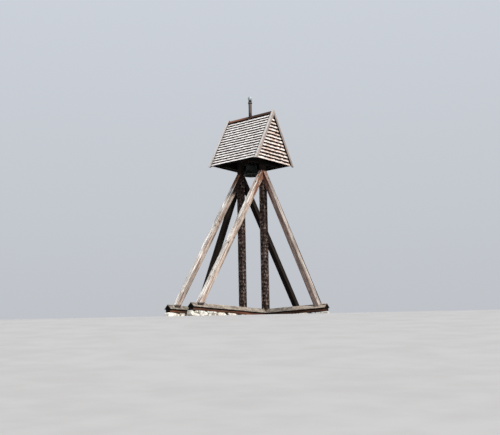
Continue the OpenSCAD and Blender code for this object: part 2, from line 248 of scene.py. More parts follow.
def plank(pile, lo, hi, along, tone, arris=0.003, hew=0.001, r=0.003, per=0.22, mat=0, cross=(1, 1), seed=0):
    """A timber or board that fills the box from lo to hi, with its grain along axis 0, 1 or 2."""
    lo, hi = np.array(lo, float), np.array(hi, float)
    axes = np.eye(3)
    l, w = axes[along], axes[(along + 1) % 3]
    half = (hi - lo) / 2
    hb, hc = half[(along + 1) % 3], half[(along + 2) % 3]
    L = (hi - lo)[along]
    timber(pile, (lo + hi) / 2, l, w, square(hb, hc, r, cross[0], cross[1], 2), -L / 2, L / 2,
           max(3, round(L / per)), tone, arris=arris, hew=hew, seed=seed, mat=mat)


def prism(pile, pts, front, back, tone, off=None, grain_of=None, mat=0):
    """A flat piece between two copies of a polygon. front and back give each point's place, seen counter-clockwise
    from the front."""
    n = len(pts)
    f = np.array([front(*p) for p in pts])
    b = np.array([back(*p) for p in pts])
    off = offset() if off is None else off
    g = np.array([grain_of(*p) if grain_of else (p[0], p[1], 0) for p in pts], float)
    g2 = g.copy()
    g2[:, 2] += 0.02
    faces = [tuple(range(n)), tuple(reversed(range(n, 2 * n)))]
    faces += [(i, n + i, n + (i + 1) % n, (i + 1) % n) for i in range(n)]
    tones = np.array([tone(*p) if callable(tone) else tone for p in pts], float)
    pile.put(np.concatenate([f, b]), faces, np.concatenate([g, g2]) + off, np.concatenate([tones, tones]), False, mat)


def clipped(poly, a, b, c):
    """The part of a convex polygon where a*x + b*y <= c."""
    out = []
    for i, p in enumerate(poly):
        q = poly[(i + 1) % len(poly)]
        dp, dq = a * p[0] + b * p[1] - c, a * q[0] + b * q[1] - c
        if dp <= 0:
            out.append(p)
        if (dp < 0 < dq) or (dq < 0 < dp):
            f = dp / (dp - dq)
            out.append((p[0] + (q[0] - p[0]) * f, p[1] + (q[1] - p[1]) * f))
    keep = []
    for p in out:
        if not keep or math.hypot(p[0] - keep[-1][0], p[1] - keep[-1][1]) > 1e-5:
            keep.append(p)
    if len(keep) > 1 and math.hypot(keep[0][0] - keep[-1][0], keep[0][1] - keep[-1][1]) < 1e-5:
        keep.pop()
    return keep


def area(poly):
    return 0.5 * sum(p[0] * q[1] - q[0] * p[1] for p, q in zip(poly, poly[1:] + poly[:1]))


def turned(pile, profile, centre, n, tone, smooth=True, mat=0, close=False, axis=None, along=None):
    """A turned piece: profile is (radius, height) from the bottom of the outside, over the top. axis, if given, is the
    direction that height runs in."""
    z = unit(axis) if axis is not None else np.array([0.0, 0, 1])
    x = unit(np.cross([0, 1, 0], z)) if abs(z[1]) < 0.9 else unit(np.cross([1, 0, 0], z))
    y = np.cross(z, x)
    centre = np.asarray(centre, float)
    co, gr, ring = [], [], []
    off = offset()
    for r, h in profile:
        if r < 1e-6:
            ring.append([len(co)])
            co.append(centre + z * h)
            gr.append((h, 0, 0))
        else:
            ring.append(list(range(len(co), len(co) + n)))
            for k in range(n):
                a = 2 * math.pi * k / n
                co.append(centre + z * h + r * (math.cos(a) * x + math.sin(a) * y))
                gr.append((h, r * math.cos(a), r * math.sin(a)))
    faces = []
    pairs = list(zip(ring, ring[1:])) + ([(ring[-1], ring[0])] if close else [])
    for p, q in pairs:
        if len(p) == 1 and len(q) == 1:
            continue
        for k in range(n):
            j = (k + 1) % n
            if len(p) == 1:
                faces.append((p[0], q[j], q[k]))
            elif len(q) == 1:
                faces.append((p[k], p[j], q[0]))
            else:
                faces.append((p[k], p[j], q[j], q[k]))
    pile.put(co, faces, np.array(gr) + off, tone, smooth, mat)


def smooth_line(pts, per=4):
    """A Catmull-Rom line through pts."""
    p = [np.array(q, float) for q in pts]
    out = []
    for i in range(len(p) - 1):
        a, b, c, d = p[max(i - 1, 0)], p[i], p[i + 1], p[min(i + 2, len(p) - 1)]
        for k in range(per):
            t = k / per
            out.append(0.5 * (2 * b + (c - a) * t + (2 * a - 5 * b + 4 * c - d) * t * t + (3 * b - a - 3 * c + d) * t**3))
    out.append(p[-1])
    return [tuple(q) for q in out]


# ------------------------------------------------------------------ materials


def lin(r, g, b):
    """A colour given as 0 to 255 on screen, as Blender's linear colour."""
    f = lambda v: v / 12.92 if v <= 0.04045 else ((v + 0.055) / 1.055) ** 2.4
    return (f(r / 255), f(g / 255), f(b / 255), 1.0)


class Nodes:
    """A short way to write a material's nodes."""

    def __init__(self, name, roughness=0.85, specular=0.3, metallic=0.0):
        self.mat = bpy.data.materials.new(name)
        self.mat.use_nodes = True
        self.t = self.mat.node_tree
        self.t.nodes.clear()
        self.out = self.t.nodes.new("ShaderNodeOutputMaterial")
        self.bsdf = self.t.nodes.new("ShaderNodeBsdfPrincipled")
        self.t.links.new(self.bsdf.outputs[0], self.out.inputs[0])
        self.bsdf.inputs["Roughness"].default_value = roughness
        self.bsdf.inputs["Specular IOR Level"].default_value = specular
        self.bsdf.inputs["Metallic"].default_value = metallic

    def put(self, socket, v):
        if isinstance(v, bpy.types.NodeSocket):
            self.t.links.new(v, socket)
        elif v is not None:
            socket.default_value = v

    def attr(self, name):
        n = self.t.nodes.new("ShaderNodeAttribute")
        n.attribute_type = "GEOMETRY"
        n.attribute_name = name
        return n.outputs["Vector"]

    def cut(self):
        n = self.t.nodes.new("ShaderNodeAttribute")
        n.attribute_type = "GEOMETRY"
        n.attribute_name = "cut"
        return n.outputs["Fac"]

    def normal_z(self):
        n = self.t.nodes.new("ShaderNodeTexCoord")
        return self.xyz(n.outputs["Normal"])[2]

    def place(self):
        return self.t.nodes.new("ShaderNodeTexCoord").outputs["Object"]

    def xyz(self, v):
        n = self.t.nodes.new("ShaderNodeSeparateXYZ")
        self.put(n.inputs[0], v)
        return n.outputs

    def join(self, x, y, z):
        n = self.t.nodes.new("ShaderNodeCombineXYZ")
        for s, v in zip(n.inputs, (x, y, z)):
            self.put(s, v)
        return n.outputs[0]

    def scaled(self, v, k):
        n = self.t.nodes.new("ShaderNodeVectorMath")
        n.operation = "MULTIPLY"
        self.put(n.inputs[0], v)
        n.inputs[1].default_value = k
        return n.outputs[0]

    def vadd(self, a, b):
        n = self.t.nodes.new("ShaderNodeVectorMath")
        n.operation = "ADD"
        self.put(n.inputs[0], a)
        self.put(n.inputs[1], b)
        return n.outputs[0]

    def noise(self, v, detail=3.0, rough=0.55, distortion=0.0):
        n = self.t.nodes.new("ShaderNodeTexNoise")
        self.put(n.inputs["Vector"], v)
        n.inputs["Scale"].default_value = 1.0
        n.inputs["Detail"].default_value = detail
        n.inputs["Roughness"].default_value = rough
        n.inputs["Distortion"].default_value = distortion
        return n.outputs["Fac"]

    def cells(self, v, feature="F1", out="Distance", randomness=1.0):
        n = self.t.nodes.new("ShaderNodeTexVoronoi")
        n.feature = feature
        self.put(n.inputs["Vector"], v)
        n.inputs["Scale"].default_value = 1.0
        n.inputs["Randomness"].default_value = randomness
        return n.outputs[out]

    def m(self, op, a, b=None, c=None, clamp=False):
        n = self.t.nodes.new("ShaderNodeMath")
        n.operation = op
        n.use_clamp = clamp
        for s, v in zip(n.inputs, (a, b, c)):
            self.put(s, v)
        return n.outputs[0]

    def span(self, x, a, b, c=0.0, d=1.0, smooth=True):
        n = self.t.nodes.new("ShaderNodeMapRange")
        n.interpolation_type = "SMOOTHSTEP" if smooth else "LINEAR"
        n.clamp = True
        self.put(n.inputs["Value"], x)
        for k, v in (("From Min", a), ("From Max", b), ("To Min", c), ("To Max", d)):
            n.inputs[k].default_value = v
        return n.outputs[0]

    def ramp(self, x, a, b):
        """0 at a and 1 at b, whichever is the larger."""
        return self.span(x, a, b) if b > a else self.span(x, b, a, 1.0, 0.0)

    def mix(self, f, a, b, blend="MIX"):
        n = self.t.nodes.new("ShaderNodeMix")
        n.data_type = "RGBA"
        n.blend_type = blend
        self.put(n.inputs["Factor"], f)
        ins = [s for s in n.inputs if s.type == "RGBA"]
        self.put(ins[0], a)
        self.put(ins[1], b)
        return [s for s in n.outputs if s.type == "RGBA"][0]

    def times(self, colour, x):
        """colour times the number x."""
        return self.mix(1.0, colour, self.join(x, x, x), "MULTIPLY")

    def bump(self, height, strength, distance, normal=None):
        n = self.t.nodes.new("ShaderNodeBump")
        n.inputs["Strength"].default_value = strength
        n.inputs["Distance"].default_value = distance
        self.put(n.inputs["Height"], height)
        if normal is not None:
            self.put(n.inputs["Normal"], normal)
        return n.outputs[0]

    def done(self, colour, roughness=None, normal=None, metallic=None):
        self.put(self.bsdf.inputs["Base Color"], colour)
        self.put(self.bsdf.inputs["Roughness"], roughness)
        self.put(self.bsdf.inputs["Normal"], normal)
        self.put(self.bsdf.inputs["Metallic"], metallic)
        return self.mat


def wood(name, top, side, under, up=(0.08, 0.42), vary=0.16, streak=0.30, cracks=0.8, knots=0.6, lichen=0.0,
         lichen_colour=(0.3, 0.33, 0.25, 1), red=0.0, red_colour=(0.25, 0.12, 0.07, 1), bump=0.5, rough=(0.78, 0.95), head=None, spec=0.25,
         rim=None, fade=None, ends=0.55, zone=None, spots=0.62):
    """Old sawn or hewn timber: lighter where it faces the sky and browner on its sides (partly real bleaching, partly
    painted light), with painted shade beneath, and with fibre, drying cracks and knots. head is (height where the
    darker head starts to show, height where it is full, how much, its colour on a bleached side, its colour on a face
    that looks up, how much higher it starts there): sheltered wood and old tar, and on the front-left strut painted
    shadow of the hood. rim is (distance from the tower's middle plane, colour of what lies nearer to it): painted shade
    on the edge boards' inner edges. fade is (x, x, tint) between which old tar comes in along the ridge. ends is how
    dark the end grain is.
    zone is (height, height, colour): the colour comes in between the first height and the second; it paints shade under
    the weather boards and at the struts' feet. spots is the share of places without a knot."""
    n = Nodes(name, 0.85, spec)
    g, tone = n.attr("grain"), n.attr("tone")
    r1, r2, r3 = n.xyz(tone)
    patch = n.noise(n.scaled(g, (1.3, 7, 7)), 3)
    broad = n.noise(n.scaled(g, (0.8, 26, 26)), 3, 0.6)
    fibre = n.noise(n.scaled(g, (5, 190, 190)), 4, 0.65)
    fine = n.noise(n.scaled(g, (14, 620, 620)), 2, 0.5)
    nz = n.m("ADD", n.normal_z(), n.span(patch, 0.3, 0.7, -0.10, 0.10))
    # Faces that look up take the top colour, sides the side colour and faces that look down the under colour. The
    # lighter tops are partly real bleaching and partly painted light; the dark undersides are painted shade.
    base = n.mix(n.span(nz, up[0], up[1]), side, top)
    base = n.mix(n.span(nz, -0.45, -0.08), under, base)
    if red:
        redness = n.m("MULTIPLY", n.span(n.noise(n.scaled(n.vadd(g, (3, 1, 4)), (1.5, 13, 13)), 3), 0.50, 0.62), red)
        base = n.mix(redness, base, red_colour)
    # The darker head: sheltered wood and old tar, and on the front-left strut painted shadow of the hood.
    if head:
        z0, z1, much, tar_and_shade, tar_and_shade_top, lift = head
        level = n.m("ADD", n.xyz(n.place())[2], n.span(n.noise(n.scaled(n.vadd(g, (5, 2, 3)), (0.9, 22, 22)), 3), 0.3, 0.7, -0.35 * abs(z1 - z0), 0.35 * abs(z1 - z0)))
        sky = n.span(nz, up[0], up[1])
        level = n.m("SUBTRACT", level, n.m("MULTIPLY", sky, lift))
        share = n.ramp(level, z0, z1)
        strand = n.noise(n.scaled(n.vadd(g, (4, 4, 1)), (1.1, 24, 24)), 3, 0.6)
        share = n.span(n.m("SUBTRACT", n.m("MULTIPLY", share, 1.45), n.span(strand, 0.30, 0.70, 0.0, 0.75)), 0.0, 0.40)
        tints = [tuple(min(c / 0.62, 1.0) for c in colour[:3]) + (1.0,) for colour in (tar_and_shade, tar_and_shade_top)]
        tint = n.mix(1.0, base, n.mix(sky, *tints), "MULTIPLY")
        base = n.mix(n.m("MULTIPLY", share, much), base, tint)
    if fade:
        x = n.m("ADD", n.xyz(n.place())[0], n.span(broad, 0.3, 0.7, -0.25, 0.25))
        base = n.mix(n.span(x, fade[0], fade[1]), base, n.mix(1.0, base, fade[2], "MULTIPLY"))
    # rim paints shade on the faces nearest the tower's middle plane.
    if rim:
        base = n.mix(n.span(n.m("ABSOLUTE", n.xyz(n.place())[0]), rim[0] + 0.001, rim[0] + 0.005, 1.0, 0.0), base, rim[1])
    # zone paints a band of colour by height: painted shade under the weather boards and at the struts' feet.
    if zone:
        level = n.m("ADD", n.xyz(n.place())[2], n.span(broad, 0.3, 0.7, -0.012, 0.012))
        base = n.mix(n.ramp(level, zone[0], zone[1]), base, zone[2])
    grey = n.m("MULTIPLY", n.span(patch, 0.25, 0.75, 1 - 0.8 * vary, 1 + 0.8 * vary), n.span(r1, 0, 1, 1 - vary, 1 + vary, smooth=False))
    lines = n.m("MULTIPLY", n.span(broad, 0.30, 0.72, 1 - streak, 1 + 0.6 * streak), n.span(fibre, 0.28, 0.66, 1 - 0.8 * streak, 1 + 0.35 * streak))
    base = n.times(base, n.m("MULTIPLY", grey, lines))
    # cracks run with the grain: thin lines where a stretched noise passes its middle
    crack_f = n.noise(n.scaled(n.vadd(g, (7, 3, 1)), (0.75, 15, 15)), 2, 0.5)
    gate = n.span(n.noise(n.scaled(n.vadd(g, (1, 8, 2)), (0.9, 4, 4)), 1), 0.44, 0.60)
    crack = n.m("MULTIPLY", n.span(n.m("ABSOLUTE", n.m("SUBTRACT", crack_f, 0.5)), 0.004, 0.016, 1, 0), gate)
    hair_f = n.noise(n.scaled(n.vadd(g, (2, 5, 9)), (2.2, 60, 60)), 2, 0.5)
    hair = n.m("MULTIPLY", n.span(n.m("ABSOLUTE", n.m("SUBTRACT", hair_f, 0.5)), 0.006, 0.03, 1, 0), 0.55)
    dark = n.m("MAXIMUM", crack, hair)
    base = n.mix(n.m("MULTIPLY", dark, cracks), base, (0.020, 0.014, 0.010, 1))
    height = n.m("ADD", n.m("MULTIPLY", fibre, 0.5), n.m("MULTIPLY", fine, 0.22))
    height = n.m("SUBTRACT", height, n.m("MULTIPLY", dark, 0.9))
    if knots:
        kv = n.scaled(g, (2.9, 6.2, 6.2))
        spot = n.cells(kv)
        pick = n.xyz(n.cells(kv, out="Color"))[0]
        knot = n.m("MULTIPLY", n.span(spot, 0.08, 0.25, 1, 0), n.span(pick, spots, spots + 0.02, 0, 1))
        ring = n.span(n.m("SINE", n.m("MULTIPLY", spot, 110)), -1, 1, 0.55, 1.0)
        base = n.mix(n.m("MULTIPLY", knot, knots), base, n.times((0.075, 0.042, 0.026, 1), ring))
        height = n.m("ADD", height, n.m("MULTIPLY", knot, 0.25))
    # end grain: darker, with short cracks in all directions
    check = n.span(n.cells(n.scaled(g, (3, 55, 55)), "DISTANCE_TO_EDGE"), 0.02, 0.10, 0.45, 1.0)
    base = n.mix(n.cut(), base, n.times(base, n.m("MULTIPLY", check, 1 - ends)))
    if lichen:
        lv = n.scaled(n.place(), (9, 9, 9))
        spots = n.noise(lv, 5, 0.7)
        more = n.noise(n.scaled(n.place(), (1.1, 1.1, 1.1)), 2)
        lich = n.m("MULTIPLY", n.span(n.m("ADD", spots, n.m("MULTIPLY", more, 0.35)), 0.62, 0.90), n.span(nz, 0.1, 0.5))
        base = n.mix(n.m("MULTIPLY", lich, lichen), base, lichen_colour)
    normal = n.bump(height, bump, 0.004)
    return n.done(base, n.span(fibre, 0.3, 0.7, rough[0], rough[1]), normal)


def shingle(name, tip, band, worn, edge=(0.42, 0.66), wild=0.28, vary=0.20, warm=0.0, warm_colour=(0.3, 0.14, 0.06, 1),
            bump=0.55, streak=0.28, fleck=None, spec=0.12):
    """Split shingles: bleached tips, and a dark band on the upper part that the course above shelters: partly old tar,
    partly painted shadow of the butt above; the butt faces are painted dark, partly end grain, partly painted shade.
    tone is (a random number, share of the exposed length from the tip, another random number)."""
    n = Nodes(name, 0.85, spec)
    g, tone = n.attr("grain"), n.attr("tone")
    r1, e, r3 = n.xyz(tone)
    patch = n.noise(n.scaled(g, (6, 14, 14)), 3)
    broad = n.noise(n.scaled(g, (3, 60, 60)), 3, 0.6)
    fibre = n.noise(n.scaled(g, (12, 260, 260)), 3, 0.6)
    area_noise = n.noise(n.scaled(n.place(), (1.7, 1.7, 1.7)), 3)
    where = n.m("ADD", e, n.m("MULTIPLY", n.m("SUBTRACT", broad, 0.5), wild * 2))
    where = n.m("ADD", where, n.m("MULTIPLY", n.m("SUBTRACT", r1, 0.5), wild))
    # f is the dark share: the band below the next butt (old tar and painted shadow) and the butt faces marked by cut
    # (painted shade).
    f = n.m("MAXIMUM", n.span(where, edge[0], edge[1]), n.cut())
    light = n.mix(n.span(r3, 0.25, 1.0), tip, worn)
    if fleck:
        split = n.noise(n.scaled(n.vadd(g, (2, 7, 5)), (2.5, 26, 26)), 2)
        pick = n.m("MULTIPLY", n.span(n.m("FRACT", n.m("MULTIPLY", r1, 3.17)), fleck[0], fleck[0] + 0.10), n.span(split, 0.44, 0.56))
        light = n.mix(n.m("MULTIPLY", pick, n.span(e, 0.25, 0.85, 1.0, 0.0)), light, fleck[1])
    light = n.times(light, n.m("MULTIPLY", n.span(patch, 0.25, 0.75, 1 - vary, 1 + 0.6 * vary), n.span(fibre, 0.28, 0.68, 1 - streak, 1 + 0.4 * streak)))
    if warm:
        pick = n.span(n.m("ADD", n.m("MULTIPLY", n.m("FRACT", n.m("MULTIPLY", r1, 7.31)), 0.6), n.m("MULTIPLY", area_noise, 0.6)), 0.50, 0.72)
        spread = n.span(where, 0.05, 0.45)
        light = n.mix(n.m("MULTIPLY", n.m("MULTIPLY", pick, spread), warm), light, warm_colour)
    dark = n.times(band, n.m("MULTIPLY", n.span(fibre, 0.3, 0.7, 0.75, 1.3), n.span(n.m("FRACT", n.m("MULTIPLY", r3, 5.77)), 0, 1, 0.6, 1.5, smooth=False)))
    base = n.mix(f, light, dark)
    crack = n.span(n.m("ABSOLUTE", n.m("SUBTRACT", n.noise(n.scaled(n.vadd(g, (4, 2, 6)), (2.5, 30, 30)), 1), 0.5)), 0.004, 0.02, 0.75, 0)
    base = n.mix(crack, base, (0.015, 0.011, 0.009, 1))
    height = n.m("SUBTRACT", n.m("ADD", n.m("MULTIPLY", fibre, 0.6), n.m("MULTIPLY", broad, 0.5)), crack)
    return n.done(base, n.span(f, 0, 1, 0.92, 0.72), n.bump(height, bump, 0.003))


def stone_mat(name):
    n = Nodes(name, 0.9, 0.25)
    p, tone = n.place(), n.attr("tone")
    r1, r2, r3 = n.xyz(tone)
    own = n.vadd(p, n.scaled(tone, (31, 17, 23)))
    big = n.noise(n.scaled(own, (3.2, 3.2, 3.2)), 4)
    mid = n.noise(n.scaled(own, (16, 16, 16)), 5, 0.62)
    grit = n.cells(n.scaled(own, (150, 150, 150)), out="Color")
    speck = n.xyz(grit)[0]
    base = n.mix(n.span(big, 0.35, 0.65), lin(232, 229, 219), lin(200, 195, 186))
    base = n.mix(n.span(r1, 0.45, 1.0), base, lin(212, 203, 188))
    base = n.times(base, n.m("MULTIPLY", n.span(mid, 0.3, 0.7, 0.74, 1.16), n.span(speck, 0, 1, 0.82, 1.14, smooth=False)))
    dark_speck = n.span(n.xyz(grit)[1], 0.84, 0.88)
    base = n.mix(n.m("MULTIPLY", dark_speck, 0.55), base, (0.035, 0.032, 0.030, 1))
    blotch = n.noise(n.scaled(n.vadd(own, (2, 6, 3)), (8.5, 8.5, 8.5)), 3, 0.6)
    base = n.times(base, n.span(blotch, 0.34, 0.66, 0.58, 1.22))
    spoil = n.noise(n.scaled(n.vadd(own, (1, 1, 7)), (26, 26, 26)), 4, 0.7)
    pit = n.m("ADD", n.cells(n.scaled(n.vadd(own, (1, 1, 7)), (9, 9, 9))), n.m("MULTIPLY", n.m("SUBTRACT", spoil, 0.5), 1.5))
    base = n.mix(n.m("MULTIPLY", n.span(pit, 0.08, 0.24, 1, 0), 0.62), base, (0.070, 0.063, 0.053, 1))
    z = n.xyz(p)[2]
    # Darker towards the bottom.
    low_darkening = n.m("MULTIPLY", n.span(n.m("ADD", z, n.m("MULTIPLY", n.m("SUBTRACT", big, 0.5), 0.12)), 0.0, 0.07, 1, 0), 0.55)
    base = n.mix(low_darkening, base, (0.06, 0.055, 0.04, 1))
    crust = n.span(n.noise(n.scaled(n.vadd(own, (5, 1, 2)), (13, 13, 13)), 5, 0.72, 0.6), 0.57, 0.62)
    base = n.mix(n.m("MULTIPLY", crust, 0.8), base, lin(228, 225, 212))
    moss = n.m("MULTIPLY", n.span(n.noise(n.scaled(n.vadd(own, (9, 4, 8)), (8, 8, 8)), 5, 0.7), 0.58, 0.66), n.span(n.normal_z(), 0.1, 0.6))
    base = n.mix(n.m("MULTIPLY", moss, 0.6), base, lin(92, 96, 62))
    height = n.m("ADD", n.m("MULTIPLY", mid, 1.0), n.m("MULTIPLY", speck, 0.12))
    return n.done(base, None, n.bump(height, 0.6, 0.012))


def iron_mat(name):
    n = Nodes(name, 0.7, 0.4, 0.0)
    p = n.place()
    rust = n.noise(n.scaled(p, (28, 28, 28)), 5, 0.65)
    fine = n.noise(n.scaled(p, (190, 190, 190)), 3)
    base = n.mix(n.span(rust, 0.42, 0.62), (0.030, 0.028, 0.027, 1), (0.075, 0.034, 0.018, 1))
    base = n.times(base, n.span(fine, 0.3, 0.7, 0.7, 1.35))
    height = n.m("ADD", rust, n.m("MULTIPLY", fine, 0.35))
    return n.done(base, n.span(rust, 0.4, 0.62, 0.45, 0.9), n.bump(height, 0.4, 0.002), n.span(rust, 0.40, 0.56, 0.75, 0.05))


def bronze_mat(name):
    n = Nodes(name, 0.55, 0.5, 0.5)
    p = n.place()
    x, y, z = n.xyz(p)
    cloud = n.noise(n.scaled(p, (7, 7, 3)), 5, 0.6)
    run = n.noise(n.scaled(p, (38, 38, 2.5)), 4, 0.6)
    fine = n.noise(n.scaled(p, (160, 160, 160)), 3)
    # A dark patinated body, kept darker than the bronze itself: partly real patina, partly painted shade of the hood.
    base = n.mix(n.span(cloud, 0.38, 0.62), lin(24, 25, 21), lin(33, 40, 37))
    base = n.mix(n.m("MULTIPLY", n.span(run, 0.50, 0.68), 0.6), base, lin(52, 68, 60))
    # A lighter band just above the lip: painted highlight.
    lip = n.span(n.m("ADD", z, n.m("MULTIPLY", cloud, 0.03)), LIP_Z + 0.005, LIP_Z + 0.085, 1, 0)
    base = n.mix(n.m("MULTIPLY", lip, 0.6), base, lin(92, 104, 94))
    base = n.times(base, n.span(fine, 0.3, 0.7, 0.86, 1.12))
    # the inside is painted near black: painted shade in the bell's mouth
    base = n.mix(n.m("MULTIPLY", n.cut(), 0.86), base, (0.004, 0.004, 0.0035, 1))
    patina = n.m("MAXIMUM", n.span(cloud, 0.36, 0.6), n.span(run, 0.45, 0.62))
    return n.done(base, n.span(patina, 0, 1, 0.42, 0.78), n.bump(n.m("ADD", cloud, n.m("MULTIPLY", fine, 0.4)), 0.25, 0.002),
                  n.span(patina, 0, 1, 0.85, 0.15))


def knob_mat(name):
    n = Nodes(name, 0.5, 0.35, 0.0)
    p = n.place()
    wear = n.noise(n.scaled(p, (17, 17, 17)), 5, 0.62)
    run = n.noise(n.scaled(p, (60, 60, 6)), 4, 0.6)
    base = n.mix(n.span(wear, 0.35, 0.65), lin(178, 186, 189), lin(138, 145, 148))
    base = n.mix(n.m("MULTIPLY", n.span(run, 0.52, 0.70), 0.55), base, lin(108, 110, 104))
    chip = n.span(n.noise(n.scaled(n.vadd(p, (3, 3, 3)), (42, 42, 42)), 4, 0.7), 0.60, 0.64)
    base = n.mix(n.m("MULTIPLY", chip, 0.8), base, lin(98, 78, 64))
    return n.done(base, n.span(wear, 0.3, 0.7, 0.38, 0.62), n.bump(n.m("ADD", wear, chip), 0.2, 0.002), n.span(chip, 0, 1, 0.15, 0.0))


# Front struts: the zone band at the foot is painted shade where the strut goes into the weather boards.
M_strut = wood("strut_timber_grey", top=lin(246, 239, 230), side=lin(202, 184, 170), under=lin(84, 66, 54),
               vary=0.22, streak=0.58, cracks=0.95, knots=1.0, red=0.60, red_colour=lin(132, 98, 82),
               head=(4.20, 6.4, 0.95, lin(150, 108, 90), lin(178, 136, 116), 0.70), zone=(0.60, 0.53, lin(66, 54, 48)), spots=0.40)
# Front-left strut: its dark head, from 5.05 m on the sides and higher on top, is painted shadow of the hood.
M_strut_left = wood("strut_timber_grey_painted_head_shadow", top=lin(246, 239, 231), side=lin(178, 161, 149), under=lin(84, 66, 54),
                    vary=0.22, streak=0.58, cracks=0.95, knots=1.0, red=0.60, red_colour=lin(132, 98, 82),
                    head=(5.05, 5.62, 1.0, lin(62, 41, 33), lin(146, 106, 84), 0.34), zone=(0.60, 0.53, lin(66, 54, 48)), spots=0.40)
M_strut_end = wood("strut_timber_taupe", top=lin(168, 159, 151), side=lin(134, 116, 107), under=lin(52, 42, 36),
                   vary=0.22, streak=0.52, cracks=0.95, knots=0.8, red=0.50, red_colour=lin(112, 78, 66),
                   head=(4.60, 6.0, 0.95, lin(118, 78, 64), lin(205, 164, 148), 0.85), spots=0.45)
# Back struts and the left end strut: near black on their sides and beneath, lighter on top; the dark undersides are
# painted shade.
M_strut_back = wood("strut_timber_dark_sides", top=lin(172, 162, 154), side=lin(34, 28, 24), under=lin(24, 20, 18), up=(0.20, 0.40),
                    vary=0.30, streak=0.55, cracks=0.8, knots=0.4, red=0.3, red_colour=lin(56, 40, 32), spec=0.10)
# The zone band is painted shadow of the weather boards on the top of the sill's sides; the near-black end grain is
# partly real end grain, partly painted shade.
M_sill = wood("sill_timber_brown", top=lin(36, 29, 25), side=lin(84, 58, 45), under=lin(34, 26, 22),
              vary=0.30, streak=0.50, cracks=0.9, knots=0.5, red=0.8, red_colour=lin(128, 78, 57), ends=0.80, spec=0.12,
              zone=(0.330, 0.350, lin(16, 12, 10)))
# The near-black under colour is painted shade beneath the weather boards.
M_cover = wood("weather_board_grey", top=lin(136, 125, 113), side=lin(84, 72, 63), under=lin(20, 16, 14), red=0.45, red_colour=lin(92, 66, 53),
               vary=0.48, streak=0.60, cracks=0.95, knots=0.8, lichen=0.36, lichen_colour=lin(212, 204, 189))
M_core = wood("post_timber_dark", top=lin(60, 50, 44), side=lin(40, 33, 29), under=lin(22, 18, 16), vary=0.1, spec=0.08)
# Hood timbers and deck boards are near black: painted shade under the hood.
M_hood = wood("hood_timber_dark", top=lin(30, 24, 21), side=lin(20, 17, 15), under=lin(14, 12, 11), vary=0.18, streak=0.3, spec=0.05)
M_deck = wood("deck_board_dark", top=lin(24, 20, 17), side=lin(18, 15, 13), under=lin(13, 11, 10), vary=0.3, streak=0.3, spec=0.05)
M_verge = wood("verge_board_taupe", top=lin(166, 154, 149), side=lin(160, 148, 142), under=lin(24, 20, 18),
               vary=0.14, streak=0.32, cracks=0.8, knots=0.5)
# The rim darkens each edge board's inner edge: painted shade beside the raised board.
M_edge = wood("edge_board_pale", top=lin(208, 201, 195), side=lin(176, 167, 159), under=lin(24, 20, 18),
              vary=0.10, streak=0.26, cracks=0.7, knots=0.45, rim=(VERGE_X - EDGE_W, lin(52, 43, 38)))
M_ridge = wood("ridge_board_brown", top=lin(150, 104, 80), side=lin(130, 90, 70), under=lin(30, 24, 21),
               vary=0.20, streak=0.40, cracks=0.8, knots=0.5, red=0.5, red_colour=lin(160, 98, 70),
               fade=(-0.75, 0.15, (0.30, 0.33, 0.36, 1)))
M_spire = wood("spire_wood_dark", top=lin(120, 112, 104), side=lin(96, 88, 83), under=lin(40, 34, 31),
               vary=0.16, streak=0.44, cracks=0.9, knots=0.3, head=(COVER_Z + 8.25, COVER_Z + 7.98, 0.8, lin(92, 68, 66), lin(92, 68, 66), 0.0))
M_collar = wood("spire_collar_grey", top=lin(112, 107, 99), side=lin(96, 91, 85), under=lin(50, 46, 42),
                vary=0.08, streak=0.2, cracks=0.6, knots=0.0)
M_stock = wood("headstock_wood", top=lin(44, 38, 34), side=lin(32, 28, 25), under=lin(22, 19, 17), vary=0.1, spec=0.1)
M_post = shingle("tarred_shingle_dark", tip=lin(74, 62, 57), band=lin(24, 19, 17), worn=lin(44, 36, 33), edge=(0.40, 1.00),
                 wild=1.0, vary=0.45, streak=0.6, warm=0.35, warm_colour=lin(84, 57, 46), fleck=(0.66, lin(134, 119, 112)), spec=0.05)
M_roof = shingle("roof_shingle_grey", tip=lin(255, 251, 247), band=lin(31, 26, 23), worn=lin(236, 228, 223), edge=(0.41, 0.58),
                 wild=0.17, vary=0.10, streak=0.24, warm=0.12, warm_colour=lin(176, 160, 150), spec=0.04)
M_gable = shingle("gable_shingle_worn", tip=lin(246, 235, 228), band=lin(27, 16, 12), worn=lin(220, 197, 182), edge=(0.32, 0.55),
                  wild=0.20, vary=0.15, streak=0.28, warm=0.6, warm_colour=lin(158, 110, 86), spec=0.04)
M_stone = stone_mat("field_stone_pale")
M_iron = iron_mat("black_iron_rusted")
# A near-black band on the neck under the knob.
M_neck = wood("spire_neck_black_band", top=lin(20, 18, 16), side=lin(14, 12, 11), under=lin(10, 9, 8), vary=0.1, cracks=0.4, knots=0.0, spec=0.04)
M_bronze = bronze_mat("bell_bronze_patina")
M_knob = knob_mat("knob_painted_grey")

# ------------------------------------------------------------------ footing stones


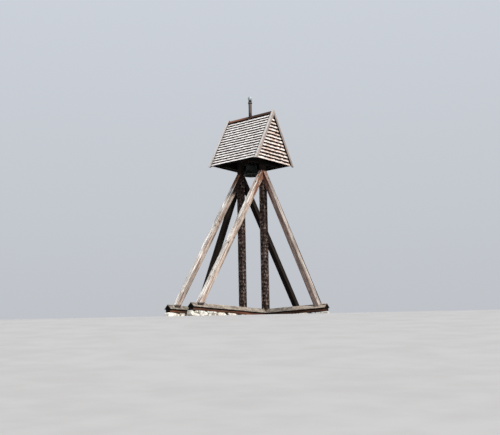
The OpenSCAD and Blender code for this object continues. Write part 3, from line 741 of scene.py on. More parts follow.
def boulder(pile, lo, hi, seed, n=12, power=5.0, rough=0.030):
    """A field stone that fills most of the box from lo to hi, flat where it beds and where the sill lies on it."""
    lo, hi = np.array(lo, float), np.array(hi, float)
    half, mid = (hi - lo) / 2, (hi + lo) / 2
    idx, co, faces = {}, [], []
    r = random.Random(seed)

    def vid(p):
        key = tuple(round(v, 5) for v in p)
        if key not in idx:
            idx[key] = len(co)
            co.append(p)
        return idx[key]

    for ax in range(3):
        for sg in (-1, 1):
            u, v = (ax + 1) % 3, (ax + 2) % 3
            for i in range(n):
                for j in range(n):
                    q = []
                    for di, dj in ((0, 0), (1, 0), (1, 1), (0, 1)):
                        p = [0.0, 0.0, 0.0]
                        p[ax] = sg
                        p[u] = -1 + 2 * (i + di) / n
                        p[v] = -1 + 2 * (j + dj) / n
                        q.append(vid(tuple(p)))
                    faces.append(tuple(q if sg > 0 else reversed(q)))
    c = np.array(co)
    c = np.sign(c) * np.abs(c) ** 0.86
    norm = (np.abs(c) ** power).sum(1) ** (1 / power)
    c = c / norm[:, None]
    skew = r.uniform(-0.14, 0.14)
    c[:, 0] += skew * c[:, 2] * (1 - np.abs(c[:, 0]))
    taper = r.uniform(-0.16, 0.16)
    c[:, 1] *= 1 + taper * c[:, 0] - abs(taper)
    q = c * np.array([half[0], half[1], half[2]]) * 5.5 + seed * 3.7
    bump = octaves(q, seed, 4)
    facet = lattice(q * 0.55, seed + 9)
    c *= (1 - rough * (0.5 + bump * 1.0) - 0.05 * np.clip(facet, 0, 1))[:, None]
    # flat broken faces: what stands past a few random planes is pressed back to them
    for _ in range(15):
        nrm = unit([r.gauss(0, 1), r.gauss(0, 1), r.gauss(0, 0.55)])
        reach = c @ nrm
        past = np.clip(reach - reach.max() * r.uniform(0.66, 0.90), 0, None)
        c -= past[:, None] * nrm
    c = np.clip(c, -1, 1)
    p = mid + c * half
    p[:, 2] = np.clip(p[:, 2], lo[2] + 0.0, hi[2] - 0.001)
    tone = (r.random(), r.random(), r.random())
    pile.put(p, faces, p + seed, tone, True)


def stone_run(pile, spans, seed, place):
    """Field stones along a row. Each span is one block of the row: one big stone, or two or three. Neighbours lean on
    each other, and small stones are wedged in where they part."""
    r = random.Random(seed)
    hw = 0.206
    k = 0
    first, last = min(a for a, b in spans), max(b for a, b in spans)
    joints = []
    for x0, x1 in spans:
        kind = r.random()
        cuts = [x0, x1]
        if kind > 0.72:
            a = x0 + (x1 - x0) * r.uniform(0.30, 0.42)
            b = x0 + (x1 - x0) * r.uniform(0.62, 0.72)
            cuts = [x0, a, b, x1]
        elif kind > 0.30:
            cuts = [x0, x0 + (x1 - x0) * r.uniform(0.40, 0.62), x1]
        for a, b in zip(cuts, cuts[1:]):
            k += 1
            a1, b1 = a + r.uniform(0.001, 0.006), b - r.uniform(0.001, 0.006)
            if a > first + 0.001:
                a1 -= 0.018
                joints.append(a)
            if b < last - 0.001:
                b1 += 0.018
            top = SILL_Z
            if r.random() > 0.62:
                # two courses: a flat stone on a thick one
                h = r.uniform(0.14, 0.17)
                w1, w2 = hw * r.uniform(0.9, 1.0), hw * r.uniform(0.82, 0.96)
                boulder(pile, *place(a1, b1, -w1, w1, 0, h + 0.012), seed * 100 + k, power=5.5)
                k += 1
                s1 = r.uniform(-0.01, 0.01)
                boulder(pile, *place(a1 + 0.01, b1 - 0.008, -w2 + s1, w2 + s1, h - 0.012, top), seed * 100 + k, n=11, power=6.0)
            else:
                w1 = hw * r.uniform(0.9, 1.0)
                s1 = (hw - w1) * r.uniform(-1, 1)
                boulder(pile, *place(a1, b1, -w1 + s1, w1 + s1, 0, top), seed * 100 + k, n=12, power=5.5)
    for j in joints:
        for s in (-1, 1):
            for low in (True, False):
                if r.random() < (0.60 if low else 0.45):
                    k += 1
                    w, h, out = r.uniform(0.035, 0.060), r.uniform(0.050, 0.095), hw - r.uniform(0.010, 0.040)
                    y0, y1 = sorted((s * out, s * (out - 0.13)))
                    z0 = 0 if low else SILL_Z - h
                    boulder(pile, *place(j - 0.012 - w, j - 0.012 + w, y0, y1, z0, z0 + h), seed * 100 + 50 + k, n=7, power=4.5)


def along_x_box(a, b, c, d, e, f):
    return (a, c, e), (b, d, f)


def along_y_box(cx):
    return lambda a, b, c, d, e, f: ((cx + c, a, e), (cx + d, b, f))


def blocks(x0, x1, n):
    pitch = (x1 - x0 + 0.024) / n
    return [(x0 + i * pitch, x0 + (i + 1) * pitch - 0.024) for i in range(n)]


pile = Pile()
outer = blocks(POST_X + 0.235, LONG_HALF + 0.110 - 0.034, 4)
stone_run(pile, [(-0.350, 0.350)], 3, along_x_box)
stone_run(pile, outer, 5, along_x_box)
stone_run(pile, [(-b, -a) for a, b in outer], 7, along_x_box)
pile.make("long_sill_stones", M_stone, ["long_sill_footing_stones"], sharp=32)
for side, sx in (("left", -1), ("right", 1)):
    pile = Pile()
    run = blocks(0.274, CROSS_HALF + 0.110, 6)
    stone_run(pile, [(-0.25, 0.25)], 11 + sx, along_y_box(sx * POST_X))
    stone_run(pile, run, 15 + sx, along_y_box(sx * POST_X))
    stone_run(pile, [(-b, -a) for a, b in run], 21 + sx, along_y_box(sx * POST_X))
    pile.make(side + "_sill_stones", M_stone, [side + "_sill_footing_stones"], sharp=32)

# ------------------------------------------------------------------ sills


def foot(run, z, hw, side=1):
    """How far from its post a strut's lower (side -1) or upper (side 1) face passes the level z."""
    k = RISE / run
    return (COVER_Z + RISE - z + side * hw * math.hypot(1, k)) / k


def sill(pile, o, l, half, seats, laps, tone):
    """A sill along l. seats are (from, to) where the saddle is cut level, laps (from, to, zmin, zmax) the half laps."""
    w = np.cross([0, 0, 1], l)
    xs = list(np.linspace(-half, half, round(2 * half / 0.16) + 1))
    e = 0.0006
    for a, b in [s[:2] for s in seats] + [s[:2] for s in laps]:
        xs = [x for x in xs if not (a - 0.03 < x < a + 0.03 or b - 0.03 < x < b + 0.03)]
        xs += [a - e, a, b, b + e]
    xs = sorted(xs)
    r = 0.007

    def section(s):
        x = -half + 2 * half * s
        zb, zt = SILL_Z, APEX_Z
        for a, b in [q[:2] for q in seats]:
            if a - 1e-6 <= x <= b + 1e-6:
                zt = SEAT_Z
        for a, b, lo, hi in laps:
            if a - 1e-6 <= x <= b + 1e-6:
                zb, zt = max(zb, lo), min(zt, hi)
        hw = SILL_HW
        # the side's top is rounded where the saddle starts
        prof = [(-hw + r, zb), (-hw * 0.4, zb), (hw * 0.4, zb), (hw - r, zb), (hw - r * 0.3, zb + r * 0.3), (hw, zb + r),
                (hw, zb + 0.25 * (SEAT_Z - SILL_Z)), (hw, zb + 0.5 * (SEAT_Z - SILL_Z)), (hw, zb + 0.75 * (SEAT_Z - SILL_Z)), (hw, SEAT_Z - 0.004),
                (hw - 0.003, SEAT_Z + 0.001), (hw * 0.5, SEAT_Z + 0.054), (0.006, APEX_Z - 0.006), (0.0, APEX_Z - 0.003), (-0.006, APEX_Z - 0.006),
                (-hw * 0.5, SEAT_Z + 0.054), (-hw + 0.003, SEAT_Z + 0.001), (-hw, SEAT_Z - 0.004),
                (-hw, zb + 0.75 * (SEAT_Z - SILL_Z)), (-hw, zb + 0.5 * (SEAT_Z - SILL_Z)), (-hw, zb + 0.25 * (SEAT_Z - SILL_Z)),
                (-hw, zb + r), (-hw + r * 0.3, zb + r * 0.3)]
        return np.array([(b, min(max(c, zb), zt)) for b, c in prof])

    stations = [(x + half) / (2 * half) for x in xs]
    timber(pile, o, l, w, section, -half, half, stations, tone, hew=0.0)


def seat_span(run, off=0.0):
    return off + foot(run, APEX_Z, STRUT_HW, -1) - 0.002, off + foot(run, SEAT_Z, STRUT_HW, 1) + 0.001


pile = Pile()
a, b = seat_span(END_RUN, POST_X)
sill(pile, (0, 0, 0), (1, 0, 0), LONG_HALF - 0.020,
     [(a, b), (-b, -a), (POST_X - POST_SEAT, POST_X + POST_SEAT), (-POST_X - POST_SEAT, -POST_X + POST_SEAT)],
     [(s * POST_X - SILL_HW, s * POST_X + SILL_HW, LAP_Z, SEAT_Z) for s in (-1, 1)], (0.5, 0.5, 0.2))
pile.make("long_sill_hewn", M_sill, ["long_sill"])
for side, sx in (("left", -1), ("right", 1)):
    pile = Pile()
    a, b = seat_span(SIDE_RUN)
    sill(pile, (sx * POST_X, 0, 0), (0, 1, 0), CROSS_HALF - 0.020, [(a, b), (-b, -a), (-POST_SEAT, POST_SEAT)],
         [(-SILL_HW, SILL_HW, SILL_Z, LAP_Z)], (0.4 + 0.2 * sx, 0.5, 0.6))
    pile.make(side + "_cross_sill_hewn", M_sill, [side + "_cross_sill"])

# ------------------------------------------------------------------ weather boards on the sills

nails = Pile()


def nail(p, out, r=0.0055, h=0.0022):
    """A forged nail's head at p, standing out along out."""
    turned(nails, [(r, -0.002), (r, h * 0.35), (r * 0.72, h * 0.85), (0.0, h)], p, 7, (0.5, 0.5, 0.5), axis=out)


def cover_board(pile, o, l, side, x0, x1, run, mitre0, tone, seed, shade=1.0):
    """One weather board, lying on one side of the saddle from station x0 to x1 from the post's middle. It is cut round
    a strut's foot, and mitred at a post where mitre0 is true."""
    w = np.cross([0, 0, 1], l) * side
    o = np.asarray(o, float)
    gap = 0.003
    rows = [0.0008, 0.004, 0.055, STRUT_HW + gap, STRUT_HW + gap + 0.018, COVER_HW - 0.012, COVER_HW - 0.003, COVER_HW]
    t = BOARD_T - LAY
    off = offset()

    def ztop(y):
        return COVER_Z - SADDLE_K * y

    cols = []
    if run:
        near = lambda y: foot(run, ztop(y), STRUT_HW + gap, -1)
        far = lambda y: foot(run, ztop(y), STRUT_HW + gap, 1) + 0.027
    has_cut = bool(run) and x0 < foot(run, COVER_Z, STRUT_HW, -1) - 0.05 and x1 > foot(run, SEAT_Z, STRUT_HW, 1) - 0.3
    if has_cut:
        n1 = max(3, round((near(0) - x0) / 0.17))
        n2 = 3
        n3 = max(2, round((x1 - far(0.17)) / 0.12))
        cols += [(lambda y, k=k: x0 + (near(y) - x0) * k / n1) for k in range(n1 + 1)]
        cut_from = len(cols) - 1
        cols += [(lambda y, k=k: near(y) + (far(y) - near(y)) * k / n2) for k in range(1, n2 + 1)]
        cut_to = len(cols) - 1
        cols += [(lambda y, k=k: far(y) + (x1 - far(y)) * k / n3) for k in range(1, n3 + 1)]
    else:
        n1 = max(4, round((x1 - x0) / 0.17))
        cols += [(lambda y, k=k: x0 + (x1 - x0) * k / n1) for k in range(n1 + 1)]
        cut_from = cut_to = -1
    nr, nc = len(rows), len(cols)
    top, bot = np.zeros((nc, nr, 3)), np.zeros((nc, nr, 3))
    for i, col in enumerate(cols):
        for j, y in enumerate(rows):
            x = col(y)
            if mitre0 and x < y + 0.004:
                x = max(x, y + 0.004)
            warp = 0.0012 * lattice([[x * 1.7 + seed, y * 4, seed]], seed)[0]
            down = 0.0
            if y <= 0.001:
                down = 0.0025
            if y >= COVER_HW - 1e-6:
                down = 0.003
            end = min(abs(x - (x0 if not mitre0 else -9)), abs(x1 - x))
            if end < 1e-6:
                down = max(down, 0.0025)
            wave = 0.0015 * lattice([[x * 2.3 + seed, 3.3, seed]], seed + 2)[0] if j >= nr - 2 else 0.0
            yy = y + wave - (0.0015 if j >= nr - 2 else 0)
            z = ztop(yy) - 0.0008 + min(warp, 0) - down * SADDLE_N
            zb = ztop(yy) - t * SADDLE_N
            d = t / SADDLE_N
            top[i, j] = (x, yy, z)
            yb = yy - t * SADDLE_K / SADDLE_N if j > 3 else yy
            zb = ztop(yy) - t * SADDLE_N if j <= 3 else ztop(yb) - t * SADDLE_N
            bot[i, j] = (x, yb, zb)
    mask = np.ones((nc - 1, nr - 1), bool)
    if has_cut:
        mask[cut_from:cut_to, 0:3] = False
    pts = np.concatenate([top.reshape(-1, 3), bot.reshape(-1, 3)])
    nn = nc * nr
    faces = []
    iv = lambda i, j: i * nr + j
    flip = side < 0

    def add(*f):
        faces.append(tuple(reversed(f)) if flip else tuple(f))

    for i in range(nc - 1):
        for j in range(nr - 1):
            if not mask[i, j]:
                continue
            a, b, c, d = iv(i, j), iv(i + 1, j), iv(i + 1, j + 1), iv(i, j + 1)
            add(a, b, c, d)
            add(nn + d, nn + c, nn + b, nn + a)
            if j == 0 or not mask[i, j - 1]:
                add(b, a, nn + a, nn + b)
            if j == nr - 2 or not mask[i, j + 1]:
                add(d, c, nn + c, nn + d)
            if i == 0 or not mask[i - 1, j]:
                add(a, d, nn + d, nn + a)
            if i == nc - 2 or not mask[i + 1, j]:
                add(c, b, nn + b, nn + c)
    used = sorted({v for f in faces for v in f})
    remap = {v: k for k, v in enumerate(used)}
    faces = [tuple(remap[v] for v in f) for f in faces]
    local = pts[used]
    co = o + local[:, :1] * np.asarray(l, float) + local[:, 1:2] * w + local[:, 2:] * np.array([0, 0, 1.0])
    grain = np.column_stack([local[:, 0], local[:, 1] * SADDLE_N, local[:, 2] * 0.3]) + off
    pile.put(co, faces, grain, tone, True)
    # nails in pairs
    out = unit(SADDLE_K * w + np.array([0, 0, 1.0]))
    x = x0 + 0.16
    while x < x1 - 0.05:
        for y in (0.040, 0.135):
            if run and y < 0.12 and foot(run, ztop(y), STRUT_HW, -1) - 0.03 < x < foot(run, ztop(y), STRUT_HW, 1) + 0.03:
                continue
            yy = y + rnd.uniform(-0.006, 0.006)
            xx = x + rnd.uniform(-0.02, 0.02)
            nail(o + xx * np.asarray(l, float) + yy * w + np.array([0, 0, ztop(yy) - 0.0008]), out)
        x += 0.62


def cover_set(pile, o, l, x1, run, seed):
    """The boards from a post out to the sill's end: on each side one long and one short board, butted."""
    for side in (1, -1):
        cut = x1 * rnd.uniform(0.42, 0.5) if run == SIDE_RUN else x1 * rnd.uniform(0.38, 0.46)
        cover_board(pile, o, l, side, POST_SEAT, cut - 0.0015, None, True, (rnd.random(), rnd.random(), rnd.random()), seed + side)
        cover_board(pile, o, l, side, cut + 0.0015, x1, run, False, (rnd.random(), rnd.random(), rnd.random()), seed + 5 + side)


pile = Pile()
for s in (-1, 1):
    cover_set(pile, (s * POST_X, 0, 0), (s, 0, 0), LONG_HALF - POST_X, END_RUN, 31 + 10 * s)
for side in (1, -1):
    # the short pair between the posts is mitred at both ends
    ys = [0.0008, 0.004, 0.09, COVER_HW - 0.003, COVER_HW]
    w = np.array([0, side, 0.0])
    n1 = 8
    t = BOARD_T - LAY
    top, bot = [], []
    for k in range(n1 + 1):
        for j, y in enumerate(ys):
            reach = POST_X - max(POST_SEAT, y + 0.004)
            x = -reach + 2 * reach * k / n1
            down = 0.003 if j in (0, 4) else 0.0
            top.append((x, y, COVER_Z - SADDLE_K * y - 0.0008 - down))
            yb = y - t * SADDLE_K / SADDLE_N if j > 2 else y
            bot.append((x, yb, COVER_Z - SADDLE_K * yb - t * SADDLE_N))
    nn, nr = len(top), len(ys)
    faces = []
    for k in range(n1):
        for j in range(nr - 1):
            a, b, c, d = k * nr + j, (k + 1) * nr + j, (k + 1) * nr + j + 1, k * nr + j + 1
            quads = [(a, b, c, d), (nn + d, nn + c, nn + b, nn + a)]
            if j == 0:
                quads.append((b, a, nn + a, nn + b))
            if j == nr - 2:
                quads.append((d, c, nn + c, nn + d))
            if k == 0:
                quads.append((a, d, nn + d, nn + a))
            if k == n1 - 1:
                quads.append((c, b, nn + b, nn + c))
            faces += quads if side > 0 else [tuple(reversed(q)) for q in quads]
    pts = np.array(top + bot)
    co = np.column_stack([pts[:, 0], pts[:, 1] * side, pts[:, 2]])
    pile.put(co, faces, np.column_stack([pts[:, 0], pts[:, 1] * SADDLE_N, pts[:, 2] * 0.3]) + offset(), (rnd.random(), 0.5, rnd.random()), True)
pile.make("long_sill_boards", M_cover, ["long_sill_weather_boards"])
for side, sx in (("left", -1), ("right", 1)):
    pile = Pile()
    for s in (-1, 1):
        cover_set(pile, (sx * POST_X, 0, 0), (0, s, 0), CROSS_HALF, SIDE_RUN, 51 + 10 * s + sx)
    pile.make(side + "_sill_boards", M_cover, [side + "_sill_weather_boards"])

# ------------------------------------------------------------------ struts

iron = Pile()


def strut(name, node, px, h, run, seed, mat):
    """A hewn square strut from the post at px out along h, with its drying cracks."""
    r = random.Random(seed)
    h = np.array([h[0], h[1], 0.0])
    length = math.hypot(run, RISE)
    l = (run * h - RISE * np.array([0, 0, 1.0])) / length
    t = (RISE * h + run * np.array([0, 0, 1.0])) / length
    w = np.cross(t, l)
    o = np.array([px, 0, COVER_Z + RISE])
    hw = STRUT_HW
    base = square(hw, hw, 0.013, 5, 5, 3)
    # one long drying crack in each face
    cracks = []
    for q in range(4):
        v0 = r.uniform(-0.45, 0.45) * hw
        cracks.append((q, v0, r.uniform(0.02, 0.25), r.uniform(0.55, 0.98), r.uniform(0.010, 0.022), r.uniform(0.002, 0.005), r.random() * 9))
    # sides in the order in which square() walks them: +b, +c, -b, -c
    def order(q, v):
        return {0: (hw, v), 1: (-v, hw), 2: (-hw, -v), 3: (v, -hw)}[q]

    VAL = {0: lambda p: p[1], 1: lambda p: -p[0], 2: lambda p: -p[1], 3: lambda p: p[0]}

    def stable(s):
        """The same points in the same order at every station: the crack's points keep between the same two of the
        flat's points."""
        out = []
        for q in range(4):
            part = base[q * 9:(q + 1) * 9]
            arc, flat = [tuple(p) for p in part[:4]], [tuple(p) for p in part[4:]]
            fv = [VAL[q](p) for p in flat]
            _, v0, s0, s1, depth, width, ph = cracks[q]
            v = v0 + 0.010 * math.sin(5 * s + ph) + 0.003 * math.sin(23 * s + 2 * ph)
            k = max(0.0, min(1.0, (s - s0) / 0.08)) * max(0.0, min(1.0, (s1 - s) / 0.08))
            k *= 0.75 + 0.25 * math.sin(31 * s + ph)
            wd = 0.0008 + width * k
            gap_at = min(range(len(fv) - 1), key=lambda i: abs((fv[i] + fv[i + 1]) / 2 - v0))
            lo_v, hi_v = fv[gap_at] + 0.003, fv[gap_at + 1] - 0.003
            v = min(max(v, lo_v + wd), hi_v - wd)
            trio = []
            for dv, dep in ((-wd, 0.0), (0.0, depth * k), (wd, 0.0)):
                b, c = order(q, v + dv)
                b -= dep if q == 0 else -dep if q == 2 else 0
                c -= dep if q == 1 else -dep if q == 3 else 0
                trio.append((b, c))
            out += arc + flat[:gap_at + 1] + trio + flat[gap_at + 1:]
        return np.array(out)

    zc = COVER_Z + RISE
    a0 = lambda b, c: (POST_HW - c * RISE / length) * length / run
    a1 = lambda b, c: (zc - SEAT_Z + c * run / length) * length / RISE
    pile = Pile()
    timber(pile, o, l, w, stable, a0, a1, 84, (r.random(), r.random(), r.random()), hew=0.0035, seed=seed)
    # two bolts through the head into the post, and two pegs above the foot
    a_top = float(a0(np.array([0.0]), np.array([hw]))[0])
    for k, (aa, bb) in enumerate(((a_top + 0.20, -0.035), (a_top + 0.36, 0.040))):
        p = o + aa * l + bb * w + (hw - 0.004) * t
        timber(iron, p, t, w, square(0.026, 0.026, 0.002, 0, 0, 1), 0, 0.007, 1, (0.5, 0.5, 0.5), arris=0.0012)
        turned(iron, [(0.0125, 0.006), (0.0125, 0.013), (0.010, 0.0165), (0, 0.018)], p, 6, (0.5, 0.5, 0.5), smooth=False, axis=t)
    a_low = float(a1(np.array([0.0]), np.array([0.0]))[0])
    for sb in (-1, 1):
        for aa, cc in ((a_low - 0.30, 0.03), (a_low - 0.22, -0.04)):
            p = o + aa * l + sb * (hw - 0.006) * w + cc * t
            turned(pile, [(0.0135, 0.0), (0.0135, 0.008), (0.010, 0.0115), (0, 0.0125)], p, 9, (0.1, 0.5, 0.9), axis=sb * w)
    return pile.make(name, mat, [node])


strut("front_left_strut_hewn", "front_left_strut", -POST_X, (0, -1), SIDE_RUN, 101, M_strut_left)
strut("front_right_strut_hewn", "front_right_strut", POST_X, (0, -1), SIDE_RUN, 102, M_strut)
strut("back_left_strut_hewn", "back_left_strut", -POST_X, (0, 1), SIDE_RUN, 103, M_strut_back)
strut("back_right_strut_hewn", "back_right_strut", POST_X, (0, 1), SIDE_RUN, 104, M_strut_back)
strut("left_end_strut_hewn", "left_end_strut", -POST_X, (-1, 0), END_RUN, 105, M_strut_back)
strut("right_end_strut_hewn", "right_end_strut", POST_X, (1, 0), END_RUN, 106, M_strut_end)

# ------------------------------------------------------------------ shingled posts


def spaan(pile, o, l, w, width, length, prof, expo, tone, skew=0.0, cup=0.0, top_drop=0.0, clip=0.0):
    """One shingle. l runs up from its butt, w across it, and l x w into the wall. prof is the outer depth and the inner
    depth at the butt, then the same at the head. The butt's lower corners are cut off by clip."""
    o, l, w = np.asarray(o, float), unit(l), unit(w)
    t = np.cross(l, w)
    d0, d1, e0, e1 = prof
    ch = min(0.004, (d1 - d0) * 0.35)
    co, gr, to = [], [], []
    off = offset()
    vs = (-width / 2, 0.0, width / 2)
    for k, v in enumerate(vs):
        u0 = skew * v / width * 2 + (clip if k != 1 else 0.0)
        c = cup if k == 1 else 0.0
        for u, d in ((u0, d1), (u0, d0 + ch + c), (u0 + 0.0035, d0 + c), (length, e0 + c), (length, e1)):
            co.append(o + u * l + v * w + d * t)
            gr.append((u, v, d))
            to.append((tone[0], max(u - u0, 0) / expo, tone[2]))
    faces, ends = [], []
    for k in range(2):
        a, b = k * 5, (k + 1) * 5
        for i in range(5):
            j = (i + 1) % 5
            faces.append((a + i, a + j, b + j, b + i))
            # the butt face, and partly its chamfer, are marked for the material's painted shade
            ends.append(1.0 if i == 0 else 0.35 if i == 1 else 0.0)
    faces.append((4, 3, 2, 1, 0))
    faces.append((10, 11, 12, 13, 14))
    pile.put(co, faces, np.array(gr) + off, np.array(to), False, 0, ends + [0.0, 0.0])


for side, sx in (("left", -1), ("right", 1)):
    r = random.Random(300 + sx)
    pile = Pile()
    centre = np.array([sx * POST_X, 0, 0])
    timber(pile, (sx * POST_X, 0, 0), (0, 0, 1), (1, 0, 0), square(CORE_HW, CORE_HW, 0.008, 3, 3, 2), SEAT_Z, BEAM_Z, 40,
           (0.5, 0.5, 0.5), hew=0.002, seed=5)
    pile.make(side + "_post_timber", M_core, [side + "_post"])
    pile = Pile()
    expo = 0.142
    n_course = int((CLAD_TOP - SEAT_Z - 0.01) / expo)
    expo = (CLAD_TOP - SEAT_Z) / n_course
    z_up = np.array([0, 0, 1.0])
    for face, nrm in enumerate(((1, 0, 0), (0, 1, 0), (-1, 0, 0), (0, -1, 0))):
        nrm = np.array(nrm, float)
        w = np.cross(z_up, nrm)
        for k in range(n_course):
            z = SEAT_Z + k * expo
            top = min(0.215, CLAD_TOP - z)
            wide = (k + face) % 2 == 0
            hw = POST_HW - 0.001 if wide else POST_HW - 0.0125
            cuts = [-hw]
            m = r.choice((3, 3, 4))
            for q in range(1, m):
                cuts.append(-hw + 2 * hw * (q + r.uniform(-0.16, 0.16)) / m)
            cuts.append(hw)
            for a, b in zip(cuts, cuts[1:]):
                share = top / 0.215
                own = r.random()
                if (a == cuts[0] or b == cuts[-1]) and r.random() < 0.45:
                    own = (0.74 + 0.24 * own) / 3.17
                jit = r.uniform(-0.032, 0.032)
                jit = max(jit, SEAT_Z - z + 0.0005)
                sk = r.uniform(-0.004, 0.004)
                th = r.uniform(0.0095, 0.0125)
                outer_d = CORE_HW - POST_HW + r.uniform(0.0, 0.002)
                # depth runs inwards from the core's face
                prof = (outer_d + 0.0, outer_d + th, -0.0035 + (outer_d + 0.0035) * (1 - share), 0.001)
                spaan(pile, centre + nrm * CORE_HW + w * (a + b) / 2 + z_up * (z + jit), z_up, w, (b - a) - r.uniform(0.001, 0.004),
                      top - jit - 0.001, prof, expo, (own, 0, r.random()), sk, r.uniform(-0.0015, 0.0015),
                      clip=r.choice((0, 0, 0.003, 0.006)))
    pile.make(side + "_post_shingles", M_post)

# ------------------------------------------------------------------ roof slopes

EXPO = 0.1426
COURSES = 16
SHINGLE_L = 0.235


def about(turn):
    """The front slope's own directions, or the back one's for turn = -1."""
    m = np.diag([turn, turn, 1.0])
    return lambda p: m @ np.asarray(p, float)


for side, turn in (("front", 1), ("back", -1)):
    R = about(turn)
    r = random.Random(500 + turn)
    l, w = R((0, C, S)), R((1, 0, 0))
    t = np.cross(l, w)
    eave = R((0, -ROOF_HALF, EAVE_Z))
    pile = Pile()
    # boards under the shingles
    n_board = 14
    pitch = (SLOPE_L - 0.055 * SLOPE_K) / n_board
    for k in range(n_board):
        u0, u1 = k * pitch + (0.0 if k == 0 else 0.0015), (k + 1) * pitch - 0.0015
        near_ridge = u1 > SLOPE_L - 0.25
        spans = [(-SLAB_X, SLAB_X)]
        if near_ridge:
            spans = [(-SLAB_X, -0.055), (0.055, SLAB_X)]
        elif r.random() > 0.4:
            c = r.choice((0.0, 0.0, -0.6, 0.6))
            spans = [(-SLAB_X, c - 0.001), (c + 0.001, SLAB_X)]
        for x0, x1 in spans:
            o = eave + l * (u0 + u1) / 2 + t * 0.0425
            hb, hc = (u1 - u0) / 2, 0.0120
            # the board's own length is along the ridge
            timber(pile, o, w, -l, square(hb, hc, 0.002, 1, 0, 1), x0, x1, 6, (r.random(), r.random(), r.random()), hew=0.0006, seed=k)
    pile.make(side + "_roof_deck", M_deck, [side + "_roof_slope"])
    pile = Pile()
    for k in range(-1, COURSES + 1):
        u = max(k, 0) * EXPO
        starter = k == -1
        if k == COURSES:
            # the packing course, set back under the ridge board's edge
            u = SLOPE_L - RIDGE_W + 0.010
        room = SLOPE_L - u
        length = min(SHINGLE_L, room - 0.002) if not starter else 0.12
        x = -SLAB_X - r.uniform(0.0, 0.06)
        while x < SLAB_X:
            width = r.uniform(0.075, 0.125)
            a, b = max(x, -SLAB_X), min(x + width, SLAB_X)
            x += width
            if b - a < 0.02:
                continue
            if length < 0.03:
                continue
            if a < 0.058 and b > -0.058 and u + length > SLOPE_L - 0.13:
                # the spire's pole stands here
                if u > SLOPE_L - 0.14:
                    continue
                length = SLOPE_L - 0.13 - u
            jit = r.uniform(-0.003, 0.003)
            if k <= 0:
                jit = r.uniform(0.0, 0.005)
            sk = r.uniform(-0.003, 0.003)
            th = r.uniform(0.0115, 0.0145)
            d0 = r.uniform(0.0008, 0.0030)
            f = length / SHINGLE_L
            prof = (d0, d0 + th, d0 + (0.0255 - d0) * f, 0.0005 + d0 + th + (0.0295 - d0 - th) * f)
            if starter:
                prof = (0.0165, 0.0295, 0.0275, 0.0299)
                jit, sk = 0.004, 0.0
            spaan(pile, eave + l * (u + jit) + w * (a + b) / 2, l, w, (b - a) - r.uniform(0.001, 0.004), length - jit, prof, EXPO,
                  (r.random(), 0, r.random()), sk, r.uniform(-0.0012, 0.0008), clip=r.choice((0, 0, 0, 0.002, 0.004)))
    pile.make(side + "_roof_shingles", M_roof)

# ------------------------------------------------------------------ gables

for side, sx in (("left", -1), ("right", 1)):
    r = random.Random(700 + sx)
    z0 = EAVE_Z - 0.018
    z1 = DECK_TOP - LAY * SLOPE_N - 0.001
    half_at = lambda z: (z1 - z) / SLOPE_K
    # seen from outside, across runs to the right
    w = np.array([0, sx, 0.0])
    P = lambda across, z, x: np.array([sx * x, across * sx, z])
    pile = Pile()
    n_board = 13
    for k in range(n_board):
        a, b = z0 + (z1 - z0) * k / n_board + 0.001, z0 + (z1 - z0) * (k + 1) / n_board - 0.001
        if k == n_board - 1:
            poly = [(-half_at(a), a), (half_at(a), a), (0, z1)]
        else:
            poly = [(-half_at(a), a), (half_at(a), a), (half_at(b), b), (-half_at(b), b)]
        prism(pile, poly, lambda c, z: P(c, z, GABLE_IN + 0.0195), lambda c, z: P(c, z, GABLE_IN + 0.0005),
              (r.random(), r.random(), r.random()))
    pile.make(side + "_gable_boards", M_deck, [side + "_gable"])
    pile = Pile()
    GEX = 0.1425
    n_course = int((z1 - z0) / GEX) + 1
    for k in range(-1, n_course):
        zb = z0 + max(k, 0) * GEX
        starter = k == -1
        length = 0.235 if not starter else 0.12
        wide = half_at(zb)
        x = -wide - r.uniform(0.0, 0.05)
        while x < wide:
            width = r.uniform(0.085, 0.14)
            a, b = x + 0.001, x + width - r.uniform(0.001, 0.003)
            x += width
            jit = r.uniform(-0.004, 0.004) if k > 0 else r.uniform(0.0, 0.006)
            th = r.uniform(0.0115, 0.0145)
            d0 = r.uniform(0.0005, 0.0025)
            bot = zb + jit
            top = min(zb + length, z1)
            full = bot and a > -half_at(zb + length) and b < half_at(zb + length) and zb + length < z1
            tone = (r.random(), 0, r.random())
            if starter:
                d0, th = 0.0155, 0.0125
            f_at = lambda z: min(max((z - bot) / 0.235, 0), 1)
            if full and not starter:
                prof = (d0, d0 + th, 0.0255, 0.0295)
                o = P((a + b) / 2, bot, GABLE_OUT)
                spaan(pile, o, (0, 0, 1), np.cross([0, 0, 1], [sx, 0, 0]), b - a, length - jit, prof, GEX, tone,
                      r.uniform(-0.003, 0.003), r.uniform(-0.0012, 0.0008), clip=r.choice((0, 0, 0, 0.003, 0.006)))
                continue
            poly = [(a, bot), (b, bot), (b, top), (a, top)]
            poly = clipped(poly, SLOPE_K, 1, z1 - 0.0005)
            poly = clipped(poly, -SLOPE_K, 1, z1 - 0.0005) if len(poly) > 2 else poly
            if len(poly) < 3 or area(poly) < 1e-4:
                continue
            off = offset()
            outer = lambda c, z: P(c, z, GABLE_OUT - (d0 + (0.0255 - d0) * f_at(z)))
            inner = lambda c, z: P(c, z, GABLE_OUT - (d0 + th + (0.0295 - d0 - th) * f_at(z)))
            prism(pile, poly, outer, inner, lambda c, z: (tone[0], max(z - bot, 0) / GEX, tone[2]), off,
                  lambda c, z: (z - bot, c, 0.0))
    pile.make(side + "_gable_shingles", M_gable)

# ------------------------------------------------------------------ boards of the verges, slopes' edges and ridge


def slope_frame(turn):
    R = about(turn)
    return R, R((0, C, S)), R((1, 0, 0)), R((0, -ROOF_HALF, EAVE_Z))


